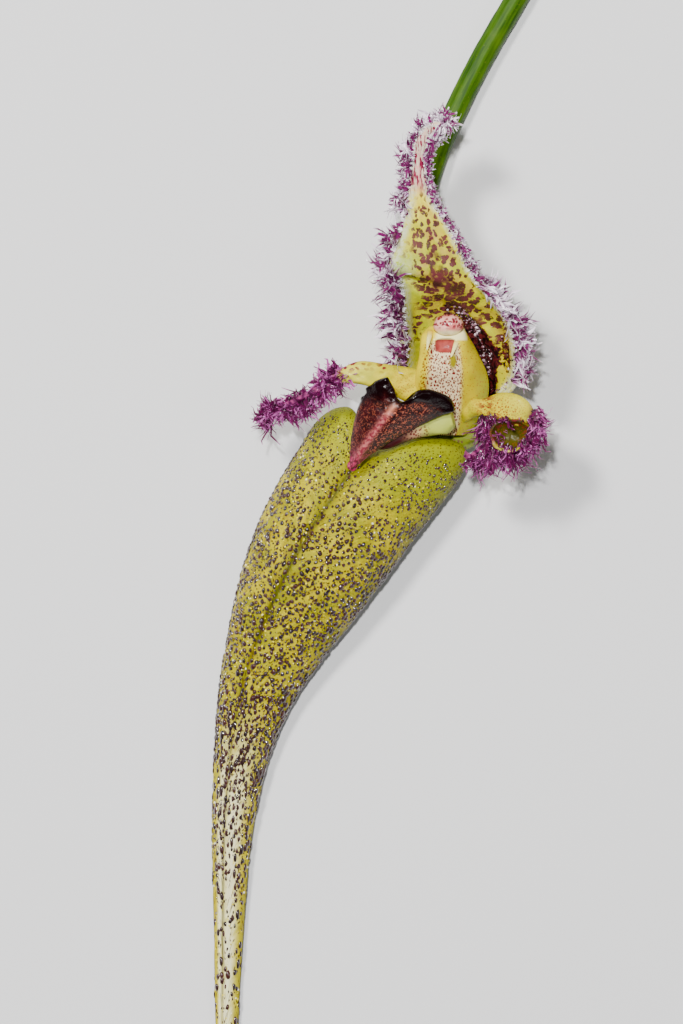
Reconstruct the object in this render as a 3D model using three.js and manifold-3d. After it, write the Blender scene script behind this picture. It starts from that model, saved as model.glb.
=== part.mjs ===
// A single Bulbophyllum flower on its cut stalk, lying on its back on a flat surface.
// Millimetres. +Z is up, away from the surface; +Y runs from the tongue towards the hood's tip;
// +X is to the right as one looks down on the flower. The origin is on the flat rest under the tongue.
import * as THREE from "three";
import { mergeVertices } from "three/addons/utils/BufferGeometryUtils.js";
import Module from "manifold-3d";

const wasm = await Module();
wasm.setup();

// ---------------------------------------------------------------- driving dimensions

// Where the rest spot lies in the flower's own plan, whose zero is in the tongue's upper part.
const REST = { x: 3.6, y: -6.2 };

const STALK_RADIUS = 1.15;
const BLADE = 0.8; // thickness of the hood and petals
const HAIR_ROOT = 0.26; // radius of a fringe hair where it leaves the margin
const HAIR_SUNK = 0.35; // how far a hair's root is sunk into the blade
const HAIR_CLEARANCE = 0.31; // distance kept to a neighbour, at the hair's root
const HAIR_TRIES = 4;
const HAIR_TURN_UP = 0.45; // how much steeper each next try is

// The tongue, from the column down to its tail: x, y, half width.
const TONGUE = [
  [7.68, 11.05, 7.4],
  [4.76, 6.38, 7.45],
  [1.85, 1.7, 7.35],
  [-1.65, -3.75, 7.05],
  [-4.5, -8.95, 6.25],
  [-6.75, -13.75, 5.1],
  [-8.75, -18.8, 3.95],
  [-10.05, -23.75, 3.05],
  [-10.9, -29.1, 2.42],
  [-11.45, -35, 1.95],
  [-11.75, -45, 1.45],
  [-11.9, -55, 1.1],
  [-11.4, -67, 0.82],
  [-10.2, -80.5, 0.6],
  [-8.6, -94, 0.42],
];
const TONGUE_ROW = 5.6; // distance between the rows of TONGUE at its upper end
const TONGUE_ROLL = 2.16; // angle from the crest to each rolled-under margin, radians
const TONGUE_TALL = 0.78; // height of the arch above its widest level, as a share of the half width
const TONGUE_THICK = 1.2;
const TAIL_THICK_SHARE = 0.42; // the tail is no thicker than this share of its half width
// Height above the margins' lowest line at which they are flat; it becomes the surface's level.
const REST_CUT = 0.35;
const RIM_ROLL = 1.7; // radius of the rounded edge at the tongue's upper end
const RIM_DROP = 2.6;
const RIM_NARROWER = 0.12; // how much narrower the rounded edge is, as a share of the half width
// The seam between the two sepals: its place across at the notch and further down, as a share of
// the half width, and the valley's and the groove's depth and half width.
const SEAM = { atNotch: -0.23, below: -0.5, rows: 6 };
const VALLEY = { depth: 0.9, half: 2.4, fadeFrom: 1.6, fadeRows: 2.2 };
const GROOVE = { depth: 0.18, deeper: 0.5, half: 0.8, reach: 1.4 };
// The upper edge of the tongue: angle round the arch in degrees, distance up from the notch in millimetres.
const NECKLINE = [
  [-125, -2.5],
  [-90, 3.2],
  [-75, 4.5],
  [-60, 5.3],
  [-38, 4.4],
  [-24, 2.2],
  [-13, 0.9],
  [-3, 3.3],
  [10, 5.6],
  [30, 7.4],
  [57, 8.4],
  [90, 6.8],
  [125, 1.5],
];
const NOTCH_ROW = 2; // row of TONGUE that is level with the notch
const GROOVE_FULL_FROM = 3; // half width from which the groove has its full depth
const TAIL_LIFT_ROWS = [5, 8]; // the tail comes clear of the surface between these rows

// The hood, from its base behind the column to its tip:
// left margin x y z, right margin x y z, height of the middle.
const HOOD = [
  [9.2, 9.8, 3.9, 13.5, 9.5, 4.2, 3.7],
  [6.1, 12.2, 7.6, 16.5, 11.2, 8.0, 4.1],
  [5.9, 15.5, 9.6, 17.4, 13.8, 10.2, 4.6],
  [5.6, 18.5, 10.4, 16.8, 17.2, 11.0, 6.0],
  [5.4, 21.0, 10.8, 15.1, 19.8, 11.2, 8.6],
  [4.4, 22.8, 10.2, 13.1, 22.1, 11.5, 10.4],
  [4.8, 24.8, 10.0, 11.8, 24.8, 11.4, 10.4],
  [5.6, 27.5, 10.4, 10.5, 27.4, 11.1, 10.0],
  [6.1, 30.2, 10.4, 8.8, 30.0, 10.8, 10.0],
  [6.6, 33.2, 10.7, 8.1, 32.8, 10.9, 10.4],
  [6.9, 35.4, 11.2, 8.1, 34.9, 11.3, 11.0],
  [7.8, 37.1, 11.8, 8.6, 36.2, 11.8, 11.6],
  [9.9, 37.9, 12.4, 9.8, 37.2, 12.3, 12.3],
];

// The hood's fringe, stretch by stretch: rows from and to, side, length of the hairs.
const HOOD_FRINGE = [
  { rows: [1.2, 12], side: -1, length: 2.0 },
  { rows: [1.2, 4.6], side: 1, length: 2.0 },
  { rows: [4.6, 8.4], side: 1, length: 1.2 },
  { rows: [8.4, 12], side: 1, length: 1.6 },
];
const HOOD_HAIR_SPACING = 0.5;

// The petals along their middle: x, y, z, half width, then the direction across.
const PETAL_LEFT = [
  [6.75, 11.5, 9.9, 1.5, 0.1, 1, 0.1],
  [4.2, 12.2, 10.7, 1.15, 0, 1, 0.2],
  [1.6, 12.6, 11.0, 1.2, -0.15, 1, 0.15],
  [-0.6, 12.2, 10.8, 0.7, -0.35, 1, 0],
  [-3.0, 10.9, 10.3, 0.42, -0.4, 1, 0],
  [-5.2, 9.7, 9.8, 0.38, -0.3, 1, 0],
  [-7.3, 9.0, 9.2, 0.35, -0.5, 1, 0],
  [-8.4, 8.0, 8.7, 0.32, -1, 0.6, 0],
];
const PETAL_RIGHT = [
  [13.75, 9.2, 8.9, 0.85, 0, 1, -0.1],
  [15.9, 9.2, 10.5, 1.1, 0, 1, 0],
  [17.6, 8.8, 11.2, 1.1, 0.35, 0.85, 0.4],
  [18.3, 7.6, 11.2, 1.2, 0.75, 0.1, 0.65],
  [17.7, 6.3, 10.8, 1.3, 0.4, -0.65, 0.65],
  [16.6, 5.9, 10.4, 1.25, 0, -0.75, 0.65],
  [15.1, 5.4, 10.1, 0.85, -0.1, -0.75, 0.65],
  [13.7, 4.7, 9.8, 0.42, -0.2, -0.8, 0.6],
  [12.7, 3.9, 9.5, 0.35, -0.5, -0.8, 0.4],
];

// The column from its foot to its top: y, left x, front ridge x, right x, height of the front, depth.
const COLUMN = [
  [6.5, 9.0, 11.2, 12.1, 6.3, 2.9],
  [7.5, 7.9, 11.6, 13.1, 7.1, 3.7],
  [9.3, 7.2, 11.8, 14.0, 8.8, 4.0],
  [11.1, 7.2, 11.9, 14.3, 10.6, 4.3],
  [12.7, 7.3, 11.9, 14.1, 12.1, 4.8],
  [14.3, 7.6, 11.7, 13.4, 12.9, 4.4],
  [15.5, 7.7, 11.5, 12.8, 13.1, 3.8],
  [16.5, 7.9, 11.5, 12.2, 12.9, 3.1],
  [17.3, 8.6, 11.3, 11.7, 12.2, 2.2],
];
// Fringes of the petals. A margin's hairs stand along one side; a tuft's hairs stand all round the
// narrow end and lean one way.
const LEFT_MARGIN = { rows: [1.7, 3.2], spacing: 0.6, length: 1.0 };
const LEFT_TUFTS = [
  { rows: [2.9, 7], count: 58, length: 2.0, lean: [-0.15, -0.1, 0] },
  { rows: [6.6, 7], count: 7, length: 2.6, lean: [-0.3, -1.6, 0] },
];
const RIGHT_MARGIN = { rows: [2.2, 5], spacing: 0.55, length: 1.7 };
const RIGHT_TUFTS = [
  { rows: [3.4, 8], count: 30, length: 2.0, lean: [0.1, -0.9, 0] },
  { rows: [5.2, 8], count: 14, length: 2.3, lean: [0, -1.3, -0.1] },
];

const STIGMA = { centre: [9.95, 15.35, 13.35], radii: [1.05, 0.75, 0.85] };
const TEETH = [
  { root: [8.35, 16.0, 12.6], tip: [8.2, 15.0, 14.3] },
  { root: [11.2, 15.7, 12.6], tip: [10.75, 14.5, 14.3] },
];
const TOOTH_RADIUS = 0.38;
const CAP = { centre: [10.3, 17.4, 12.4], radii: [1.3, 1.0, 1.4] };
const CAP_CLEARANCE = 0.3;

// The lip, a fan from its tip: at each place across, the middle of the way and the back edge.
const LIP_TIP = [0.4, 2.75, 10.1];
const LIP_MIDDLE = [
  [0.05, 6.95, 9.9],
  [1.0, 6.9, 11.2],
  [2.3, 6.5, 12.7],
  [3.4, 6.6, 12.2],
  [4.5, 6.7, 11.2],
  [5.3, 6.7, 9.9],
];
const LIP_BACK = [
  [1.7, 10.2, 11.0],
  [2.6, 11.7, 12.6],
  [4.0, 12.1, 13.9],
  [4.9, 11.0, 13.5],
  [5.4, 9.9, 13.2],
  [6.7, 10.5, 13.9],
  [8.2, 10.9, 13.8],
  [9.7, 10.5, 12.9],
  [10.7, 9.7, 12.0],
  [11.0, 8.7, 11.0],
];
const LIP_THICK = 0.85;
const LIP_BLUNT = 0.08; // share of the fan cut off at its tip
// The pale fleshy base under the lip's right side, which hinges on the column's foot.
const LIP_KEEL = { centre: [8.1, 7.6, 9.75], radii: [3.0, 1.45, 1.35], turn: 0.38 };

// The stalk's middle line, from its cut end to its joint.
const STALK_ROUTE = [
  [20.6, 56.5, 1.52],
  [16.95, 50, 1.52],
  [14.05, 45, 1.52],
  [11.4, 39.8, 1.52],
  [9.3, 35, 1.55],
  [8.1, 30.8, 1.6],
  [7.8, 27, 1.7],
];
// The flower's own stalk, which widens into the six-ribbed ovary: x, y, z, radius.
const OVARY = [
  [7.8, 26.6, 1.7, 0.8],
  [8.0, 23, 1.7, 0.75],
  [8.6, 19, 1.7, 0.82],
  [9.6, 15, 1.7, 1.0],
  [10.4, 11.5, 1.8, 1.2],
  [10.85, 9.2, 2.0, 1.25],
  [11.0, 7.9, 2.45, 1.2],
];
const OVARY_RIBS = { count: 6, height: 0.09 };
// The scale that sheathes the joint and points along the pedicel; its angles are half openings.
const BRACT = { x: 7.8, y: 26.6, z: 1.7, radius: 1.75, length: 5.2, opening: 1.9, tip: 0.25, thick: 0.6 };
const BRACT_FLARE = 0.2;

// ---------------------------------------------------------------- small helpers

const at = (x, y, z) => new THREE.Vector3(x, y, z);

// Seeded random numbers from 0 to 1.
function randomFrom(seed) {
  let state = seed >>> 0;
  return () => {
    state = (state + 0x6d2b79f5) >>> 0;
    let t = state;
    t = Math.imul(t ^ (t >>> 15), t | 1);
    t ^= t + Math.imul(t ^ (t >>> 7), t | 61);
    return ((t ^ (t >>> 14)) >>> 0) / 4294967296;
  };
}

// A smooth curve through rows of numbers, at a place counted in rows from 0.
function along(rows, place) {
  const last = rows.length - 1;
  const i = Math.max(0, Math.min(Math.floor(place), last - 1));
  const f = THREE.MathUtils.clamp(place - i, 0, 1);
  const before = rows[Math.max(i - 1, 0)];
  const after = rows[Math.min(i + 2, last)];
  return rows[i].map((from, k) => {
    const to = rows[i + 1][k];
    const m0 = (to - before[k]) / 2;
    const m1 = (after[k] - from) / 2;
    const f2 = f * f;
    const f3 = f2 * f;
    return (2 * f3 - 3 * f2 + 1) * from + (f3 - 2 * f2 + f) * m0 + (3 * f2 - 2 * f3) * to + (f3 - f2) * m1;
  });
}

// Reads a value from pairs of (key, value), smoothed between neighbours.
function keyed(pairs, key) {
  const i = Math.max(1, Math.min(pairs.findIndex((p) => p[0] >= key), pairs.length - 1));
  const [k0, v0] = pairs[i - 1];
  const [k1, v1] = pairs[i];
  const f = THREE.MathUtils.smoothstep(key, k0, k1);
  return v0 + (v1 - v0) * (key > pairs[pairs.length - 1][0] ? 1 : f);
}

const bump = (x, width) => Math.exp(-((x / width) ** 2));

// ---------------------------------------------------------------- solids

function closedGeometry(points, triangles) {
  const g = new THREE.BufferGeometry();
  g.setAttribute("position", new THREE.Float32BufferAttribute(points.flatMap((p) => [p.x, p.y, p.z]), 3));
  g.setIndex(triangles);
  return g;
}

// A closed blade: a grid of points on its upper face, and the same grid set back by its thickness.
// rowPlaces and columnPlaces list where the grid's lines lie; both faces share the same diagonals.
function bladeGeometry(rowPlaces, columnPlaces, face, thickness) {
  const rows = rowPlaces.length;
  const columns = columnPlaces.length;
  const upper = rowPlaces.map((u) => columnPlaces.map((s) => face(u, s)));
  const clampRow = (i) => Math.max(0, Math.min(i, rows - 1));
  const clampColumn = (j) => Math.max(0, Math.min(j, columns - 1));
  const lower = upper.map((line, i) =>
    line.map((p, j) => {
      const du = at(0, 0, 0).subVectors(upper[clampRow(i + 1)][j], upper[clampRow(i - 1)][j]);
      const ds = at(0, 0, 0).subVectors(line[clampColumn(j + 1)], line[clampColumn(j - 1)]);
      const normal = du.cross(ds).normalize();
      return p.clone().addScaledVector(normal, -thickness(rowPlaces[i], columnPlaces[j]));
    }),
  );
  const points = [...upper.flat(), ...lower.flat()];
  const T = (i, j) => i * columns + j;
  const B = (i, j) => rows * columns + i * columns + j;
  const triangles = [];
  for (let i = 0; i < rows - 1; i++)
    for (let j = 0; j < columns - 1; j++) {
      triangles.push(T(i, j), T(i + 1, j), T(i + 1, j + 1), T(i, j), T(i + 1, j + 1), T(i, j + 1));
      triangles.push(B(i, j), B(i + 1, j + 1), B(i + 1, j), B(i, j), B(i, j + 1), B(i + 1, j + 1));
    }
  for (let i = 0; i < rows - 1; i++) {
    const far = columns - 1;
    triangles.push(B(i, 0), B(i + 1, 0), T(i + 1, 0), B(i, 0), T(i + 1, 0), T(i, 0));
    triangles.push(B(i, far), T(i + 1, far), B(i + 1, far), B(i, far), T(i, far), T(i + 1, far));
  }
  for (let j = 0; j < columns - 1; j++) {
    const far = rows - 1;
    triangles.push(B(0, j), T(0, j), T(0, j + 1), B(0, j), T(0, j + 1), B(0, j + 1));
    triangles.push(B(far, j), T(far, j + 1), T(far, j), B(far, j), B(far, j + 1), T(far, j + 1));
  }
  return closedGeometry(points, triangles);
}

// A closed body through rings of the same number of points, with a fan at each end.
function loftGeometry(rings) {
  const sides = rings[0].length;
  const middle = (ring) => ring.reduce((sum, p) => sum.add(p), at(0, 0, 0)).divideScalar(sides);
  const points = [...rings.flat(), middle(rings[0]), middle(rings[rings.length - 1])];
  const start = rings.length * sides;
  const triangles = [];
  for (let i = 0; i < rings.length - 1; i++)
    for (let k = 0; k < sides; k++) {
      const a = i * sides + k;
      const b = i * sides + ((k + 1) % sides);
      triangles.push(a, b, b + sides, a, b + sides, a + sides);
    }
  for (let k = 0; k < sides; k++) {
    const next = (k + 1) % sides;
    const top = (rings.length - 1) * sides;
    triangles.push(start, next, k);
    triangles.push(start + 1, top + k, top + next);
  }
  return closedGeometry(points, triangles);
}

// A ring across a direction, whose radius may change round it.
function ringAcross(centre, direction, sides, radius) {
  const side = at(0, 0, 1).cross(direction).normalize();
  const up = direction.clone().normalize().cross(side);
  return Array.from({ length: sides }, (_, k) => {
    const turn = (2 * Math.PI * k) / sides;
    const r = radius(turn);
    return centre.clone().addScaledVector(side, r * Math.cos(turn)).addScaledVector(up, r * Math.sin(turn));
  });
}

// A manifold solid of a closed geometry.
function solid(geometry) {
  const plain = geometry.clone();
  plain.deleteAttribute("normal");
  plain.deleteAttribute("uv");
  const merged = mergeVertices(plain);
  return new wasm.Manifold(
    new wasm.Mesh({
      numProp: 3,
      vertProperties: new Float32Array(merged.attributes.position.array),
      triVerts: new Uint32Array(merged.index.array),
    }),
  );
}

function geometryOf(body) {
  const mesh = body.getMesh();
  const g = new THREE.BufferGeometry();
  g.setAttribute("position", new THREE.BufferAttribute(mesh.vertProperties, 3));
  g.setIndex(new THREE.BufferAttribute(mesh.triVerts, 1));
  return g;
}

// The largest body of a solid, without loose scraps.
function whole(body) {
  return body.decompose().sort((a, b) => b.volume() - a.volume())[0];
}

function ellipsoid({ centre, radii, turn = 0 }, across, down) {
  const g = new THREE.SphereGeometry(1, across, down);
  g.scale(...radii);
  g.rotateZ(turn);
  g.translate(...centre);
  return solid(g);
}

// A three-sided spike from a sunk root to a sharp tip.
function spike(root, tip, radius, turn) {
  const direction = at(0, 0, 0).subVectors(tip, root).normalize();
  const side = at(0.31, 0.23, 1).cross(direction).normalize();
  const up = direction.clone().cross(side);
  const ring = [0, 1, 2].map((k) => {
    const angle = turn + (2 * Math.PI * k) / 3;
    return root
      .clone()
      .addScaledVector(side, radius * Math.cos(angle))
      .addScaledVector(up, radius * Math.sin(angle));
  });
  return solid(closedGeometry([...ring, tip.clone()], [0, 2, 1, 0, 1, 3, 1, 2, 3, 2, 0, 3]));
}

// Adds hairs to a blade. Each hair is given by its root on the margin, its direction and its length;
// one that would come near a neighbour is turned up, and left out if that doesn't clear it.
function fringed(body, hairs, neighbours, random) {
  let result = body;
  for (const hair of hairs) {
    for (let attempt = 0; attempt < HAIR_TRIES; attempt++) {
      const direction = hair.direction.clone().normalize();
      direction.z += HAIR_TURN_UP * attempt;
      direction.normalize();
      const root = hair.root.clone().addScaledVector(direction, -HAIR_SUNK);
      const tip = hair.root.clone().addScaledVector(direction, hair.length);
      const guard = spike(root, tip, HAIR_ROOT + HAIR_CLEARANCE, 0);
      if (neighbours.some((other) => !guard.intersect(other).isEmpty())) continue;
      result = result.add(spike(root, tip, HAIR_ROOT, random() * 2));
      break;
    }
  }
  return whole(result);
}

function node(name, body, colour, roughness) {
  const material = new THREE.MeshStandardMaterial({ color: colour, roughness, metalness: 0 });
  const mesh = new THREE.Mesh(geometryOf(body), material);
  mesh.name = name;
  return mesh;
}

const evenly = (from, to, steps) =>
  Array.from({ length: steps + 1 }, (_, i) => from + ((to - from) * i) / steps);

// ---------------------------------------------------------------- the tongue of joined lateral sepals

// The upper end's place, in rows of TONGUE, at an angle round the arch.
function necklineRow(angle) {
  const up = keyed(NECKLINE, THREE.MathUtils.radToDeg(angle));
  return NOTCH_ROW - up / TONGUE_ROW;
}

// How far the seam's valley and groove lower the outer face.
function seamFall(row, half, angle) {
  if (Math.abs(angle) >= GROOVE.reach) return 0;
  const below = THREE.MathUtils.clamp((row - NOTCH_ROW) / SEAM.rows, 0, 1);
  const fromSeam = half * (Math.sin(angle) - THREE.MathUtils.lerp(SEAM.atNotch, SEAM.below, below));
  const deep = THREE.MathUtils.clamp(1 - (row - VALLEY.fadeFrom) / VALLEY.fadeRows, 0, 1);
  const groove = GROOVE.depth * Math.min(1, half / GROOVE_FULL_FROM) + GROOVE.deeper * deep;
  return VALLEY.depth * deep * bump(fromSeam, VALLEY.half) + groove * bump(fromSeam, GROOVE.half);
}

// A point on the tongue's outer face; place is 0 at the neckline and 1 at the tail's end.
function tongueFace(place, angle) {
  const top = necklineRow(angle);
  const row = top + (TONGUE.length - 1 - top) * place;
  const [x, y, half] = along(TONGUE, row);
  const [x1, y1] = along(TONGUE, Math.min(row + 0.05, TONGUE.length - 1));
  const [x0, y0] = along(TONGUE, Math.max(row - 0.05, 0));
  const way = at(x1 - x0, y1 - y0, 0).normalize();
  const side = at(-way.y, way.x, 0);
  const tall = TONGUE_TALL * half;
  const fromRim = (row - top) * TONGUE_ROW;
  const roll = fromRim < RIM_ROLL ? 1 - Math.sqrt(1 - (1 - fromRim / RIM_ROLL) ** 2) : 0;
  const lift = REST_CUT * THREE.MathUtils.smoothstep(row, ...TAIL_LIFT_ROWS);
  const fall = seamFall(row, half, angle) + RIM_DROP * roll * Math.max(0, Math.cos(angle));
  const z = lift + tall * (Math.cos(angle) - Math.cos(TONGUE_ROLL)) - fall;
  const across = half * Math.sin(angle) * (1 - RIM_NARROWER * roll);
  return at(x + side.x * across, y + side.y * across, z);
}

function tongue() {
  const rimPlaces = [0, 0.004, 0.014, 0.026, 0.04];
  const places = [...rimPlaces, ...evenly(0.07, 0.55, 15), ...evenly(0.6, 1, 8)];
  const angles = evenly(-TONGUE_ROLL, TONGUE_ROLL, 22);
  const thickness = (place, angle) => {
    const top = necklineRow(angle);
    const half = along(TONGUE, top + (TONGUE.length - 1 - top) * place)[2];
    return Math.min(TONGUE_THICK, TAIL_THICK_SHARE * half);
  };
  const blade = solid(bladeGeometry(places, angles, tongueFace, thickness));
  // The rolled margins are flat where they lie on the surface.
  const under = new THREE.BoxGeometry(60, 160, 4);
  under.translate(0, -40, REST_CUT - 2);
  return whole(blade.subtract(solid(under)));
}

// ---------------------------------------------------------------- the hood

// A point on the hood's face that looks at the column; row counts along HOOD, s runs from -1 to 1 across.
function hoodFace(row, s) {
  const [lx, ly, lz, rx, ry, rz, depth] = along(HOOD, row);
  const swing = Math.sin((Math.PI / 2) * s);
  const rise = 1 - Math.cos((Math.PI / 2) * s);
  const margin = s < 0 ? lz : rz;
  const f = (swing + 1) / 2;
  return at(lx + (rx - lx) * f, ly + (ry - ly) * f, depth + (margin - depth) * rise);
}

// Hairs along a margin of a blade: root on the margin, outwards with some scatter.
function marginHairs(face, side, { rows, spacing, length }, random) {
  const hairs = [];
  let travelled = 0;
  let before = face(rows[0], side);
  for (const row of evenly(rows[0], rows[1], 400)) {
    const here = face(row, side);
    travelled += here.distanceTo(before);
    before = here;
    if (travelled < spacing) continue;
    travelled -= spacing * (0.75 + 0.5 * random());
    const inner = face(row, side * 0.7);
    const outwards = at(0, 0, 0).subVectors(here, inner).setZ(0).normalize();
    const scatter = at(random() - 0.5, random() - 0.5, 0.9 * (random() - 0.3)).multiplyScalar(1.1);
    hairs.push({
      root: here.clone().addScaledVector(outwards, -0.12).setZ(here.z - BLADE / 2),
      direction: outwards.add(scatter),
      length: length * (0.65 + 0.6 * random()),
    });
  }
  return hairs;
}

function hood(neighbours) {
  const random = randomFrom(11);
  const rows = [...evenly(0, 6, 12), ...evenly(6.6, HOOD.length - 1, 9)];
  const blade = solid(bladeGeometry(rows, evenly(-1, 1, 10), hoodFace, () => BLADE));
  const hairs = HOOD_FRINGE.flatMap(({ side, rows: stretch, length }) =>
    marginHairs(hoodFace, side, { rows: stretch, spacing: HOOD_HAIR_SPACING, length }, random),
  );
  return fringed(blade, hairs, neighbours, random);
}

// ---------------------------------------------------------------- the petals

function strapFace(strap) {
  return (row, s) => {
    const [x, y, z, half, ax, ay, az] = along(strap, row);
    const across = at(ax, ay, az).normalize();
    return at(x, y, z).addScaledVector(across, -half * s);
  };
}

// Hairs all round a petal's narrow end.
function tuftHairs(face, { rows, count, length, lean }, random) {
  return Array.from({ length: count }, (_, i) => {
    const row = rows[0] + ((rows[1] - rows[0]) * (i + random())) / count;
    const s = random() * 2 - 1;
    const angle = random() * 2 * Math.PI;
    const direction = at(Math.cos(angle), Math.sin(angle), 0.7 * (random() - 0.35)).add(at(...lean));
    const root = face(row, 0.8 * s);
    return { root: root.setZ(root.z - BLADE / 2), direction, length: length * (0.7 + 0.6 * random()) };
  });
}

function petal(strap, seed, margin, tufts, neighbours) {
  const random = randomFrom(seed);
  const face = strapFace(strap);
  const rows = evenly(0, strap.length - 1, 2 * (strap.length - 1));
  const blade = solid(bladeGeometry(rows, evenly(-1, 1, 4), face, () => BLADE));
  const hairs = [
    ...marginHairs(face, -1, margin, random),
    ...tufts.flatMap((tuft) => tuftHairs(face, tuft, random)),
  ];
  return fringed(blade, hairs, neighbours, random);
}

// ---------------------------------------------------------------- the column, its cap and the lip

// One ring of the column: a flat front, a slanting right flank, and a rounded back.
function columnRing([y, left, ridge, right, front, depth]) {
  const shape = new THREE.CatmullRomCurve3(
    [
      at(left, y, front - 0.5),
      at(left - 0.1, y, front - 0.5 * depth),
      at(left + 0.9, y, front - 0.92 * depth),
      at((left + right) / 2, y, front - depth),
      at(right - 0.6, y, front - 0.9 * depth),
      at(right, y, front - 0.55 * depth),
      at(ridge + 0.25, y, front - 0.05),
      at((left + ridge) / 2, y, front),
    ],
    true,
  );
  return shape.getPoints(20).slice(0, 20).reverse();
}

function column() {
  const rows = evenly(0, COLUMN.length - 1, 14);
  const rings = rows.map((row) => columnRing(along(COLUMN, row)));
  const body = solid(loftGeometry(rings));
  const stigma = ellipsoid(STIGMA, 10, 6);
  const bed = ellipsoid({ centre: CAP.centre, radii: CAP.radii.map((r) => r + CAP_CLEARANCE) }, 16, 10);
  const teeth = TEETH.map(({ root, tip }) => spike(at(...root), at(...tip), TOOTH_RADIUS, 0.4));
  return whole(teeth.reduce((sum, tooth) => sum.add(tooth), body.subtract(stigma).subtract(bed)));
}

// A point on the lip's upper face: place runs from the tip to the back edge, s from 0 to 1 across.
function lipFace(place, s) {
  const middle = along(LIP_MIDDLE, s * (LIP_MIDDLE.length - 1));
  const back = along(LIP_BACK, s * (LIP_BACK.length - 1));
  const a = (1 - place) ** 2;
  const b = 2 * place * (1 - place);
  const c = place ** 2;
  return at(...[0, 1, 2].map((k) => a * LIP_TIP[k] + b * middle[k] + c * back[k]));
}

function lip() {
  const face = (place, s) => lipFace(LIP_BLUNT + (1 - LIP_BLUNT) * place, 1 - s);
  const blade = solid(bladeGeometry(evenly(0, 1, 12), evenly(0, 1, 16), face, () => LIP_THICK));
  return whole(blade.add(ellipsoid(LIP_KEEL, 12, 8)));
}

// ---------------------------------------------------------------- the stalks

function peduncle() {
  const outline = new THREE.Shape().absarc(0, 0, STALK_RADIUS, 0, 2 * Math.PI, false);
  const tube = new THREE.ExtrudeGeometry(outline, {
    curveSegments: 10,
    steps: 14,
    bevelEnabled: false,
    extrudePath: new THREE.CatmullRomCurve3(STALK_ROUTE.map((p) => at(...p))),
  });
  return solid(tube);
}

function pedicelOvary() {
  const rows = evenly(0, OVARY.length - 1, 16);
  const rings = rows.map((row) => {
    const [x, y, z, r] = along(OVARY, row);
    const next = along(OVARY, Math.min(row + 0.1, OVARY.length - 1));
    const last = along(OVARY, Math.max(row - 0.1, 0));
    const direction = at(next[0] - last[0], next[1] - last[1], next[2] - last[2]);
    const ribs = OVARY_RIBS.height * THREE.MathUtils.smoothstep(row, 2, 5);
    const radius = (turn) => r * (1 + ribs * Math.cos(OVARY_RIBS.count * turn));
    return ringAcross(at(x, y, z), direction, 18, radius);
  });
  return solid(loftGeometry(rings));
}

// A point on the bract's outer face: place runs from the joint to its tip, s from -1 to 1 across.
function bractFace(place, s) {
  const turn = s * THREE.MathUtils.lerp(BRACT.opening, BRACT.tip, place ** 1.5);
  const flare = BRACT_FLARE * place;
  const radius = BRACT.radius + flare;
  return at(
    BRACT.x + flare + radius * Math.sin(turn),
    BRACT.y - BRACT.length * place,
    BRACT.z + flare + radius * Math.cos(turn),
  );
}

function bract() {
  return solid(bladeGeometry(evenly(0, 1, 6), evenly(-1, 1, 8), bractFace, () => BRACT.thick));
}

// ---------------------------------------------------------------- the flower

const flower = new THREE.Group();
const columnBody = column();
const lipBody = lip();
const tongueBody = tongue();
const firm = [columnBody, lipBody, tongueBody];
const hoodBody = hood(firm);
const leftPetal = petal(PETAL_LEFT, 23, LEFT_MARGIN, LEFT_TUFTS, [...firm, hoodBody]);
const rightPetal = petal(PETAL_RIGHT, 37, RIGHT_MARGIN, RIGHT_TUFTS, [...firm, hoodBody]);

flower.add(
  node("peduncle", peduncle(), 0x6fa01e, 0.45),
  node("bract", bract(), 0x9a7a3c, 0.7),
  node("pedicel_ovary", pedicelOvary(), 0x8fae3a, 0.5),
  node("lateral_sepals", tongueBody, 0xb2bc2c, 0.35),
  node("dorsal_sepal", hoodBody, 0xc0c04c, 0.45),
  node("petal_left", leftPetal, 0xa64c9a, 0.5),
  node("petal_right", rightPetal, 0xa64c9a, 0.5),
  node("column", columnBody, 0xdcbe30, 0.35),
  node("anther_cap", ellipsoid(CAP, 14, 9), 0xdc8080, 0.35),
  node("lip", lipBody, 0x5a0f18, 0.25),
);
flower.position.set(-REST.x, -REST.y, -REST_CUT);

export default flower;
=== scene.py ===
"""A single Bulbophyllum flower on its cut stalk, lying on its back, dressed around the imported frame.

Lengths are in millimetres in the flower's own plan until a mesh is made, and metres after that.
"""

import itertools
import math

import bpy
import numpy as np
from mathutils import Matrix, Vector


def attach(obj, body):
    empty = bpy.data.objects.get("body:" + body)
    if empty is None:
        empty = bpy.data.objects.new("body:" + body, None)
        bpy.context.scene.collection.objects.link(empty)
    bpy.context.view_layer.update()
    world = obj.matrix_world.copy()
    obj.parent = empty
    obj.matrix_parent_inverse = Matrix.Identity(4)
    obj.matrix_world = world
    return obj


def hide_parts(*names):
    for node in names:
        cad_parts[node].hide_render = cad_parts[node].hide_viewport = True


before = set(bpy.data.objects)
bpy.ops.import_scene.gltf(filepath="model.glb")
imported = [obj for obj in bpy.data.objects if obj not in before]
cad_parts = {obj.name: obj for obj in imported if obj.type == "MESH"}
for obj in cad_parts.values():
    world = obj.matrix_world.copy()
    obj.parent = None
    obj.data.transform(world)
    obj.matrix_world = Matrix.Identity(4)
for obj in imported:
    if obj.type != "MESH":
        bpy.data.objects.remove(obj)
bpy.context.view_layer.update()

# ---------------------------------------------------------------- driving dimensions

MM = 0.001
REST = np.array([3.6, -6.2, 0.35])  # the rest spot in the flower's plan
REST_CUT = 0.35  # nothing reaches lower than this
TOP = 14.1  # no hair stands higher than this
UP = np.array([0.0, 0.0, 1.0])
FULL_TURN = 2 * math.pi
QUARTER = math.pi / 2
NUDGE = 1e-3  # the step that a face's tangents are read over

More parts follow.
